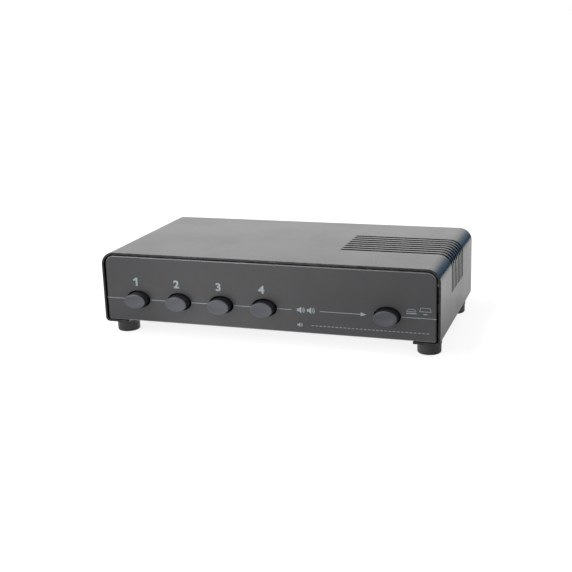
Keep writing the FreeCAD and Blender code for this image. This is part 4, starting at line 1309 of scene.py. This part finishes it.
@dataclass
class Print:
    """Pale marks on the panel: a line between the buttons, their numbers and generic pictures.

    Heights are from the cover's foot. The parts of a loudspeaker picture are shares of its height, but for
    the arcs' reach, in degrees.
    """

    thick: float = 0.03
    line_height: float = 14.8
    line_wide: float = 0.27
    line_end: float = 97.8
    line_stop: float = 16.5
    line_clear: float = 0.15
    hole_half: float = 7.6
    icon_pen: float = 0.2
    icon_strip: float = 0.25
    icons: tuple[ButtonPicture, ...] = (
        ButtonPicture(81.6, 86.8, 18.3, 19.6, 0.8, under=(81.4, 87.0, 16.95, 17.35)),
        ButtonPicture(88.6, 95.0, 18.65, 20.6, 0.6, under=(90.7, 92.9, 16.8, 17.2)),
    )
    number_height: float = 4.5
    number_low: float = 23.05
    number_stretch: float = 1.17
    number_weight: float = 0.03
    number_em: float = 1.37
    number_shift: float = -1.3
    one_over: float = 0.2
    one_under: float = 0.15
    speaker_lefts: tuple[float, ...] = (19.8, 25.6)
    speaker_low: float = 13.0
    speaker_tall: float = 3.9
    speaker_pen: float = 0.4
    magnet: float = 0.24
    neck: float = 0.2
    cone: tuple[float, float] = (0.3, 0.62)
    arcs: tuple[float, ...] = (0.34, 0.56)
    arc_centre: float = 0.48
    arc_reach: float = 42.0
    arrow_from: float = 33.0
    arrow_to: float = 56.6
    head_from: float = 56.2
    head_tip: float = 59.4
    head_half: float = 1.1
    rule_height: float = 6.3
    rule_from: float = 28.0
    rule_to: float = 95.2
    rule_dash: float = 1.5
    rule_pitch: float = 2.3
    rule_speaker_tall: float = 2.6
    rule_speaker_pen: float = 0.28

    def slab(self, shape: bmesh.types.BMesh, loop: Loop, face: float) -> None:
        """Add a closed film of ink with the outline of a loop, on the panel's face.

        Args:
            shape: The bmesh to add to.
            loop: The outline, as X and Z, anticlockwise.
            face: The panel's Y.
        """
        rings = []
        for depth in (face - self.thick, face + self.thick):
            rings.append([shape.verts.new((x * MM, depth * MM, z * MM)) for x, z in loop])
        shape.faces.new(rings[0])
        shape.faces.new(list(reversed(rings[1])))
        count = len(loop)
        for n in range(count):
            after = (n + 1) % count
            shape.faces.new([rings[0][n], rings[1][n], rings[1][after], rings[0][after]])

    @staticmethod
    def bar(left: float, right: float, low: float, high: float) -> Loop:
        """A plain bar's outline."""
        return [(left, low), (right, low), (right, high), (left, high)]

    def frame_of(
        self, left: float, right: float, low: float, high: float, pen: float, slant: float
    ) -> list[Loop]:
        """The strokes of a flat-topped, slant-sided mark that is open below.

        Args:
            left: Its low limit across.
            right: Its high limit across.
            low: Its foot.
            high: Its top.
            pen: The strokes' width.
            slant: How far each side leans in at the top.

        Returns:
            Three outlines: the left side, the top and the right side.
        """
        return [
            [(left, low), (left + pen, low), (left + slant + pen, high), (left + slant, high)],
            self.bar(left + slant, right - slant, high - pen, high),
            [(right - pen, low), (right, low), (right - slant, high), (right - slant - pen, high)],
        ]

    def loudspeaker(self, left: float, low: float, tall: float, pen: float) -> list[Loop]:
        """The strokes of a generic loudspeaker picture: a magnet, a cone and two arcs of sound.

        Args:
            left: Its low limit across.
            low: Its foot.
            tall: Its height.
            pen: The arcs' width.

        Returns:
            Four outlines: the magnet, the cone and the arcs.
        """
        middle = low + tall / 2
        neck = tall * self.neck
        magnet = self.bar(left, left + tall * self.magnet, middle - neck, middle + neck)
        near, far = (left + tall * share for share in self.cone)
        cone = [(near, middle - neck), (far, low), (far, low + tall), (near, middle + neck)]
        turns = [math.radians(self.arc_reach) * (n / 5 * 2 - 1) for n in range(6)]
        centre = left + tall * self.arc_centre
        arcs = []
        for share in self.arcs:
            inner, outer = (
                [(centre + radius * math.cos(a), middle + radius * math.sin(a)) for a in turns]
                for radius in (tall * share, tall * share + pen)
            )
            arcs.append(outer + inner[::-1])
        return [magnet, cone, *arcs]

    def line_runs(self, centres: list[float]) -> list[tuple[float, float]]:
        """The stretches of the line between the holes, from the middles of the holes.

        Args:
            centres: The middles of the holes, from left to right.

        Returns:
            Each stretch's start and end.
        """
        reach = self.hole_half + self.line_clear
        starts = [-self.line_end] + [centre + reach for centre in centres]
        ends = [centre - reach for centre in centres[:-1]] + [self.line_stop, self.line_end]
        return list(zip(starts, ends))

    def one(self, middle: float) -> Loop:
        """The outline of the number one, with a flag, about a middle.

        Args:
            middle: The middle, across.

        Returns:
            The outline.
        """
        low = self.number_low - self.one_under
        top = self.number_low + self.number_height + self.one_over
        stem = [(0.2, low), (1.4, low), (1.4, top), (0.5, top)]
        flag = [(-1.45, top - 1.2), (-1.1, top - 2.1), (0.2, top - 1.35)]
        return [(middle + across, up) for across, up in stem + flag]

    def button_pictures(self) -> list[Loop]:
        """The pictures of a button pressed in and of one standing out.

        Returns:
            The outlines.
        """
        loops = []
        for icon in self.icons:
            sides = icon.left, icon.right
            loops += self.frame_of(*sides, icon.low, icon.high, self.icon_pen, icon.slant)
            loops += [self.bar(*sides, icon.low - self.icon_strip, icon.low), self.bar(*icon.under)]
        return loops

    def marks(self, centres: list[float]) -> list[Loop]:
        """Every mark's outline but the curved numbers', from the cover's foot up.

        Args:
            centres: The middles of the buttons, from left to right.

        Returns:
            The outlines.
        """
        half = self.line_wide / 2
        low, high = self.line_height - half, self.line_height + half
        loops = [self.bar(*run, low, high) for run in self.line_runs(centres)]
        loops += self.button_pictures()
        loops.append(self.one(centres[0] + self.number_shift))
        for left in self.speaker_lefts:
            loops += self.loudspeaker(left, self.speaker_low, self.speaker_tall, self.speaker_pen)
        head_low, head_high = self.line_height - self.head_half, self.line_height + self.head_half
        loops.append(self.bar(self.arrow_from, self.arrow_to, low, high))
        tip = (self.head_tip, self.line_height)
        loops.append([(self.head_from, head_low), tip, (self.head_from, head_high)])
        tall = self.rule_speaker_tall
        rule_speaker_low = self.rule_height - tall / 2
        loops += self.loudspeaker(self.speaker_lefts[0], rule_speaker_low, tall, self.rule_speaker_pen)
        low, high = self.rule_height - half, self.rule_height + half
        for number in range(int((self.rule_to - self.rule_from) / self.rule_pitch)):
            left = self.rule_from + number * self.rule_pitch
            loops.append(self.bar(left, left + self.rule_dash, low, high))
        return loops

    def numbers(self, builder: Builder, face: float, foot: float) -> bpy.types.Mesh:
        """The buttons' numbers from two up, as one mesh.

        Args:
            builder: The frame.
            face: The panel's Y.
            foot: The cover's low Z.

        Returns:
            The mesh, in place.
        """
        whole = bmesh.new()
        for number in range(2, 5):
            low, high = builder.frame.box(f"button_cap_{number}")
            text = bpy.data.curves.new("number", "FONT")
            text.body = str(number)
            text.align_x = "CENTER"
            text.size = self.number_height * MM * self.number_em
            text.align_y = "BOTTOM_BASELINE"
            text.extrude = self.thick * MM
            text.offset = self.number_weight * text.size
            worker = put("number", text)
            graph = bpy.context.evaluated_depsgraph_get()
            glyph = bpy.data.meshes.new_from_object(worker.evaluated_get(graph))
            bpy.data.objects.remove(worker)
            place = Vector(((low.x + high.x) / 2 + self.number_shift, face, foot + self.number_low)) * MM
            stretch = Matrix.Diagonal((self.number_stretch, 1, 1, 1))
            glyph.transform(Matrix.Translation(place) @ Matrix.Rotation(math.pi / 2, 4, "X") @ stretch)
            whole.from_mesh(glyph)
            bpy.data.meshes.remove(glyph)
        bmesh.ops.remove_doubles(whole, verts=whole.verts, dist=WELD)
        bmesh.ops.recalc_face_normals(whole, faces=whole.faces)
        return mesh_of(whole, "panel_numbers")

    def build(self, builder: Builder) -> None:
        """Make the print.

        Args:
            builder: The frame and the materials.
        """
        face = builder.frame.box("front_fascia")[0].y
        foot = builder.frame.box("top_cover")[0].z
        shape = bmesh.new()
        boxes = [builder.frame.box(f"button_cap_{label}") for label in FrontPanel.buttons]
        for loop in self.marks([(low.x + high.x) / 2 for low, high in boxes]):
            self.slab(shape, [(x, foot + z) for x, z in loop], face)
        bmesh.ops.recalc_face_normals(shape, faces=shape.faces)
        builder.piece("panel_marks", mesh_of(shape, "panel_marks"), "panel_ink", "root")
        builder.piece("panel_numbers", self.numbers(builder, face, foot), "panel_ink", "root")


@dataclass
class PushButton:
    """One push button with its stem, its spring and its switch."""

    label: str
    sides: int = 72
    rim: float = 0.75
    rim_steps: int = 5
    dish: float = 0.5
    land: float = 0.3
    draft: float = 0.12
    socket_half: float = 1.75
    socket_gap: float = 0.1
    wire: float = 0.25
    travel: float = 4.0
    turns: float = 6.0
    dead_turns: float = 0.9
    dish_steps: int = 8
    coil_steps: int = 28
    wire_sides: int = 10

    def ring(self, shape: bmesh.types.BMesh, centre: Vector, wide: float, tall: float, place: float) -> list:
        """An ellipse of vertices about the button's axis at a Y.

        Args:
            shape: The bmesh to add to.
            centre: The button's middle.
            wide: Half its width.
            tall: Half its height.
            place: The ring's Y.

        Returns:
            The ring's vertices.
        """
        angles = [2 * math.pi * n / self.sides for n in range(self.sides)]
        across = [(centre.x + wide * math.cos(a)) * MM for a in angles]
        up = [(centre.z + tall * math.sin(a)) * MM for a in angles]
        return [shape.verts.new((x, place * MM, z)) for x, z in zip(across, up)]

    def cap(self, builder: Builder) -> bpy.types.Mesh:
        """The oval cap: a drafted wall, a rounded rim, a dished face and a square socket behind.

        Args:
            builder: The frame and the materials.

        Returns:
            The cap's mesh, in place.
        """
        low, high = builder.frame.box(f"button_cap_{self.label}")
        centre = (low + high) / 2
        wide, tall = (high.x - low.x) / 2, (high.z - low.z) / 2
        sections = [(0.0, high.y), (self.draft / 2, (low.y + high.y) / 2)]
        for step in range(self.rim_steps + 1):
            angle = step / self.rim_steps * math.pi / 2
            inset = self.draft + self.rim * (1 - math.cos(angle))
            sections.append((inset, low.y + self.rim * (1 - math.sin(angle))))
        start = self.draft + self.rim + self.land
        for step in range(1, self.dish_steps):
            share = step / self.dish_steps
            sunk = low.y + self.dish * math.sin(share * math.pi / 2)
            sections.append((start + (tall - start) * share, sunk))
        shape = bmesh.new()
        rings = [self.ring(shape, centre, wide - inset, tall - inset, place) for inset, place in sections]
        for first, second in zip(rings, rings[1:]):
            for n in range(self.sides):
                after = (n + 1) % self.sides
                shape.faces.new([first[n], first[after], second[after], second[n]])
        shape.faces.new(rings[-1])
        stem_tip = builder.frame.box(f"plunger_{self.label}")[0].y
        square = []
        for n in range(self.sides):
            angle = 2 * math.pi * n / self.sides
            reach = self.socket_half / max(abs(math.cos(angle)), abs(math.sin(angle)))
            square.append((centre.x + reach * math.cos(angle), centre.z + reach * math.sin(angle)))
        mouth = [shape.verts.new((x * MM, high.y * MM, z * MM)) for x, z in square]
        deep = [shape.verts.new((x * MM, (stem_tip - self.socket_gap) * MM, z * MM)) for x, z in square]
        for first, second in ((rings[0], mouth), (mouth, deep)):
            for n in range(self.sides):
                after = (n + 1) % self.sides
                shape.faces.new([first[after], first[n], second[n], second[after]])
        shape.faces.new(deep)
        bmesh.ops.recalc_face_normals(shape, faces=shape.faces)
        return mesh_of(shape, f"oval_button_{self.label}")

    def spring_tree(self) -> bpy.types.NodeTree:
        """A Geometry Nodes tree that winds a wire about Z with closed turns at both ends.

        Returns:
            The finished tree.
        """
        parts = PlacedParts("wound_spring", ("Radius", "Wire Radius", "Length", "Turns", "Dead Share"))
        tree, given = parts.tree, parts.given
        turns, dead_share = given["Turns"], given["Dead Share"]
        coil = tree.add(
            "GeometryNodeCurveSpiral",
            Resolution=self.coil_steps,
            Rotations=turns,
            Start_Radius=given["Radius"],
            End_Radius=given["Radius"],
            Height=1.0,
        ).outputs[0]
        apart = tree.apart(tree.add("GeometryNodeInputPosition").outputs[0])
        late = tree.math("SUBTRACT", 1.0, dead_share)
        linear = {"interpolation_type": "LINEAR"}
        active = tree.add("ShaderNodeMapRange", apart["Z"], dead_share, late, settings=linear)
        wire = tree.math("MULTIPLY", given["Wire Radius"], 2.0)
        dead = tree.math("MULTIPLY", tree.math("MULTIPLY", turns, dead_share), wire)
        middle = tree.math("SUBTRACT", given["Length"], tree.math("MULTIPLY", dead, 2.0))
        low_part = tree.math("MINIMUM", apart["Z"], dead_share)
        high_part = tree.math("MAXIMUM", tree.math("SUBTRACT", apart["Z"], late), 0.0)
        closed = tree.math("MULTIPLY", turns, wire)
        ends = tree.math("MULTIPLY", tree.math("ADD", low_part, high_part), closed)
        height = tree.math("MULTIPLY_ADD", active.outputs[0], middle, ends)
        moved = tree.add("ShaderNodeCombineXYZ", apart["X"], apart["Y"], height).outputs[0]
        shaped = tree.add("GeometryNodeSetPosition", coil, Position=moved).outputs[0]
        section = tree.add("GeometryNodeCurvePrimitiveCircle", Resolution=self.wire_sides)
        tree.feed(section.inputs["Radius"], given["Wire Radius"])
        wound = tree.add("GeometryNodeCurveToMesh", shaped, section.outputs[0])
        wound.inputs["Fill Caps"].default_value = True
        return parts.close(wound.outputs[0])

    def spring(self, builder: Builder) -> None:
        """Wind the return spring between the collar and the switch.

        Args:
            builder: The frame and the materials.
        """
        node = f"return_spring_{self.label}"
        low, high = builder.frame.box(node)
        centre = (low + high) / 2
        start = low.y + self.wire
        length = high.y - low.y - 2 * self.wire
        turn = Matrix.Rotation(-math.pi / 2, 4, "X")
        inputs = {
            "Radius": ((high.x - low.x) / 2 - self.wire) * MM,
            "Wire Radius": self.wire * MM,
            "Length": length * MM,
            "Turns": self.turns,
            "Dead Share": self.dead_turns / self.turns,
            "Finish": builder.materials["spring_steel"],
        }
        name = f"wound_spring_{self.label}"
        mesh = refine(points_mesh(name, [Vector((0, 0, 0))]), 0.0, 1, self.spring_tree(), inputs)
        mesh.transform(Matrix.Translation(Vector((centre.x, start, centre.z)) * MM) @ turn)
        spring = builder.piece(name, mesh, "spring_steel", "root", node)
        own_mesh(spring)

    def build(self, builder: Builder) -> None:
        """Make the button's pieces.

        Args:
            builder: The frame and the materials.
        """
        cap = f"button_cap_{self.label}"
        mesh = refine(self.cap(builder), 0.0)
        builder.piece(f"oval_button_{self.label}", mesh, "button_grey", builder.frame.body(cap), cap)
        builder.dressed(f"button_stem_{self.label}", f"plunger_{self.label}", 0.2)
        builder.dressed(f"switch_body_{self.label}", f"switch_housing_{self.label}", 0.2)
        self.spring(builder)


@dataclass
class FrontPanel:
    """The panel plate, its print and its five buttons."""

    buttons: tuple[str, ...] = ("1", "2", "3", "4", "direct")

    def build(self, builder: Builder) -> None:
        """Make the panel's pieces.

        Args:
            builder: The frame and the materials.
        """
        builder.dressed("panel_plate", "front_fascia", 0.1)
        Print().build(builder)
        for label in self.buttons:
            PushButton(label).build(builder)


# ---- inside and rear -------------------------------------------------------------------------


@dataclass
class BoardAssembly:
    """The circuit board with what stands on it, and the case's screws."""

    foot_head: tuple[float, float] = (2.9, 2.1)
    board_head: tuple[float, float] = (2.75, 1.8)
    ear_head: tuple[float, float] = (2.0, 1.4)
    dressed: tuple[tuple[str, str, float, int], ...] = (
        ("green_board", "circuit_board", 0.08, 1),
        ("round_standoffs", "board_standoffs", 0.15, 2),
        ("cement_block_left", "protection_resistor_left", 0.25, 2),
        ("cement_block_right", "protection_resistor_right", 0.25, 2),
        ("bent_leads", "resistor_leads", 0.0, 2),
        ("pin_rows", "switch_pins", 0.08, 1),
        ("bent_latches", "latch_wires", 0.0, 2),
    )

    def build(self, builder: Builder) -> None:
        """Make the board's pieces.

        Args:
            builder: The frame and the materials.
        """
        for name, node, bevel, segments in self.dressed:
            builder.dressed(name, node, bevel, segments)
        down = Matrix.Rotation(math.pi, 4, "X")
        rearward = Matrix.Rotation(-math.pi / 2, 4, "X")
        screws = Screws()
        screws.group(builder, "zinc_foot_screws", "foot_screws", *self.foot_head, down, 3)
        screws.group(builder, "zinc_board_screws", "board_screws", *self.board_head, Matrix.Identity(4), 5)
        screws.group(builder, "zinc_ear_screws", "terminal_screws", *self.ear_head, rearward, 8)


@dataclass
class TerminalRow:
    """Five blocks of spring terminals with their levers and contact strips."""

    blocks: tuple[str, ...] = ("input", "pair1", "pair2", "pair3", "pair4")
    poles: tuple[str, ...] = ("left_plus", "left_minus", "right_plus", "right_minus")

    def build(self, builder: Builder) -> None:
        """Make the terminals' pieces.

        Args:
            builder: The frame and the materials.
        """
        for block in self.blocks:
            builder.dressed(f"wire_block_{block}", f"terminal_block_{block}", 0.18)
            for pole in self.poles:
                builder.dressed(f"wire_lever_{block}_{pole}", f"lever_{block}_{pole}", 0.18)
        builder.dressed("contact_strips", "terminal_contacts", 0.06, 1)


# ---- studio ----------------------------------------------------------------------------------


@dataclass(frozen=True)
class Lamp:
    """A rectangular soft lamp: its place, what it faces and its sizes in metres, and its watts."""

    name: str
    place: Place
    aim: Place
    wide: float
    deep: float
    power: float

    def hang(self) -> None:
        """Put the lamp in the scene, turned to what it faces."""
        light = bpy.data.lights.new(self.name, "AREA")
        light.shape = "RECTANGLE"
        light.size = self.wide
        light.size_y = self.deep
        light.energy = self.power
        lamp = put(self.name, light)
        lamp.location = self.place
        lamp.rotation_euler = (Vector(self.aim) - Vector(self.place)).to_track_quat("-Z", "Y").to_euler()


@dataclass
class Studio:
    """A white table, soft lamps and the camera.

    Each shade dims a rectangle of the table in reflections and bounced light: its left, right, near and
    far limits and its soft edge, in metres, and its depth. The corner's limits are in degrees, round Z and
    up, but for corner_near and corner_soft, in metres.
    """

    camera_place: tuple[float, float, float] = (195.67, -579.05, 190.61)
    azimuth: float = 19.10
    elevation: float = 15.52
    roll: float = -1.812
    lens: float = 65.63
    sensor: float = 36.0
    table_reach: float = 8.0
    table_colour: Colour = (0.8, 0.8, 0.8)
    near_glow: float = 0.82
    far_glow: float = 0.9
    glow_start: float = 0.25
    glow_end: float = 1.3
    mirrored_glow: float = 0.9
    bounced_glow: float = 1.3
    shades: tuple[Shade, ...] = (
        (-0.005, 2.0, -2.0, -0.06, 0.03, 0.7),
        (-2.0, -0.14, -2.0, -0.1, 0.03, 0.68),
        (-0.13, -0.07, -0.108, -0.04, 0.01, 0.6),
        (0.09, 2.0, -0.06, 2.0, 0.006, 0.3),
        (0.09, 2.0, -0.06, 0.0, 0.03, 0.17),
        (0.09, 0.114, -0.06, 2.0, 0.006, 0.39),
    )
    ambient: Colour = (0.22, 0.22, 0.225)
    sky: Colour = (1.18, 1.18, 1.19)
    corner_colour: Colour = (0.0, 0.14, 0.3)
    corner_from: float = -2.0
    corner_full: float = 20.0
    corner_fade: float = 36.0
    corner_end: float = 46.0
    corner_high: float = 30.0
    corner_low: float = 17.0
    corner_near: float = 0.42
    corner_soft: float = 0.15
    lamps: tuple[Lamp, ...] = (
        Lamp("overhead_strip", (-0.54, -0.37, 1.2), (-0.54, -0.37, 0.2), 0.56, 0.3, 5.5),
        Lamp("left_front", (-0.5, -0.62, 0.3), (0.0, 0.0, 0.03), 0.3, 0.3, 1.2),
    )

    def corner(self, tree: Tree, way: object) -> object:
        """How far a direction points to the dark corner of the room, from 0 to 1.

        Args:
            tree: The tree to add to.
            way: The direction's socket.

        Returns:
            The share's socket.
        """
        parts = tree.apart(way)
        round_z = tree.math("ARCTAN2", parts["X"], parts["Y"])
        near = tree.ramp(round_z, math.radians(self.corner_from), math.radians(self.corner_full))
        fade, end = math.radians(self.corner_fade), math.radians(self.corner_end)
        far = tree.ramp(round_z, fade, end, 1, 0)
        return tree.math("MULTIPLY", near, far)

    def lit(self, tree: Tree, place: object) -> object:
        """How bright a reflection of the table is at a place: less in each shade.

        Args:
            tree: The table's tree.
            place: The place's socket.

        Returns:
            The share's socket, from 0 to 1.
        """
        parts = tree.apart(place)
        share = 1.0
        for left, right, near, far, soft, depth in self.shades:
            mask = depth
            for axis, low, high in (("X", left, right), ("Y", near, far)):
                mask = tree.math("MULTIPLY", mask, tree.ramp(parts[axis], low - soft, low + soft))
                mask = tree.math("MULTIPLY", mask, tree.ramp(parts[axis], high + soft, high - soft))
            share = tree.math("MULTIPLY", share, tree.math("SUBTRACT", 1.0, mask))
        return share

    def floor(self) -> None:
        """The table: white to the eye, with the object's soft shadow."""
        mesh = bpy.data.meshes.new("table")
        reach = self.table_reach
        corners = [(-reach, -reach, 0), (reach, -reach, 0), (reach, reach, 0), (-reach, reach, 0)]
        mesh.from_pydata(corners, [], [(0, 1, 2, 3)])
        table = put("table", mesh)
        material = bpy.data.materials.new("white_table")
        material.use_nodes = True
        tree = Tree(material.node_tree)
        shader = material.node_tree.nodes["Principled BSDF"]
        shader.inputs["Roughness"].default_value = 0.9
        shader.inputs["Specular IOR Level"].default_value = 0.0
        path = tree.add("ShaderNodeLightPath").outputs
        place = tree.place()
        away = tree.add("ShaderNodeVectorMath", place, settings={"operation": "LENGTH"}).outputs["Value"]
        glow = tree.ramp(away, self.glow_start, self.glow_end, self.near_glow, self.far_glow)
        corner = self.corner(tree, place)
        reached = tree.ramp(away, self.corner_near, self.corner_near + self.corner_soft)
        past = tree.math("MULTIPLY", corner, reached)
        dark = tree.math("MULTIPLY", past, path["Is Glossy Ray"])
        tree.feed(shader.inputs["Base Color"], tree.mix(dark, self.table_colour, self.corner_colour))
        lit = self.lit(tree, place)
        mirror = tree.math("MULTIPLY", tree.math("MULTIPLY", path["Is Glossy Ray"], self.mirrored_glow), lit)
        mirrored = tree.math("MULTIPLY", mirror, tree.math("SUBTRACT", 1.0, past))
        bounced = tree.math("MULTIPLY", tree.math("MULTIPLY", path["Is Diffuse Ray"], self.bounced_glow), lit)
        seen = tree.math("MULTIPLY_ADD", path["Is Camera Ray"], glow, tree.math("ADD", mirrored, bounced))
        tree.feed(shader.inputs["Emission Color"], (1.0, 1.0, 1.0))
        tree.feed(shader.inputs["Emission Strength"], seen)
        mesh.materials.append(material)

    def world(self) -> None:
        """White to the eye and to reflections, but for a dark blue corner of the room behind."""
        world = bpy.data.worlds.new("studio")
        world.use_nodes = True
        bpy.context.scene.world = world
        tree = Tree(world.node_tree)
        background = world.node_tree.nodes["Background"]
        path = tree.add("ShaderNodeLightPath").outputs
        way = tree.add("ShaderNodeTexCoord").outputs["Generated"]
        high, low = (math.sin(math.radians(limit)) for limit in (self.corner_high, self.corner_low))
        under = tree.ramp(tree.apart(way)["Z"], high, low)
        corner = tree.math("MULTIPLY", self.corner(tree, way), under)
        reflected = tree.mix(corner, self.sky, self.corner_colour)
        ambient = tree.mix(path["Is Glossy Ray"], self.ambient, reflected)
        clear = tree.math("MAXIMUM", path["Is Camera Ray"], path["Is Transmission Ray"])
        tree.feed(background.inputs["Color"], tree.mix(clear, ambient, (1.0, 1.0, 1.0)))
        background.inputs["Strength"].default_value = 1.0

    def camera(self) -> None:
        """The camera, low in front and to the right of the box's middle."""
        data = bpy.data.cameras.new("camera")
        data.lens = self.lens
        data.sensor_width = self.sensor
        data.clip_start = 0.01
        camera = put("camera", data)
        around, up = math.radians(self.azimuth), math.radians(self.elevation)
        forward = Vector((-math.sin(around) * math.cos(up), math.cos(around) * math.cos(up), -math.sin(up)))
        turn = forward.to_track_quat("-Z", "Y").to_matrix().to_4x4()
        rolled = turn @ Matrix.Rotation(math.radians(self.roll), 4, "Z")
        camera.matrix_world = Matrix.Translation(Vector(self.camera_place) * MM) @ rolled
        bpy.context.scene.camera = camera

    def build(self) -> None:
        """Set up the studio."""
        bpy.context.scene.view_settings.view_transform = "Standard"
        self.floor()
        self.world()
        for lamp in self.lamps:
            lamp.hang()
        self.camera()


def main() -> None:
    """Load the frame, build every sub-assembly and the studio."""
    logging.basicConfig(level=logging.INFO, format="%(name)s: %(message)s")
    frame = Frame()
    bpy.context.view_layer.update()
    effects = Effects()
    materials = {finish.slot: finish.material(effects) for finish in (*FINISHES, PRINT)}
    builder = Builder(frame, effects, materials)
    Case().build(builder)
    Feet().build(builder)
    FrontPanel().build(builder)
    BoardAssembly().build(builder)
    TerminalRow().build(builder)
    Studio().build()


if __name__ == "__main__":
    main()
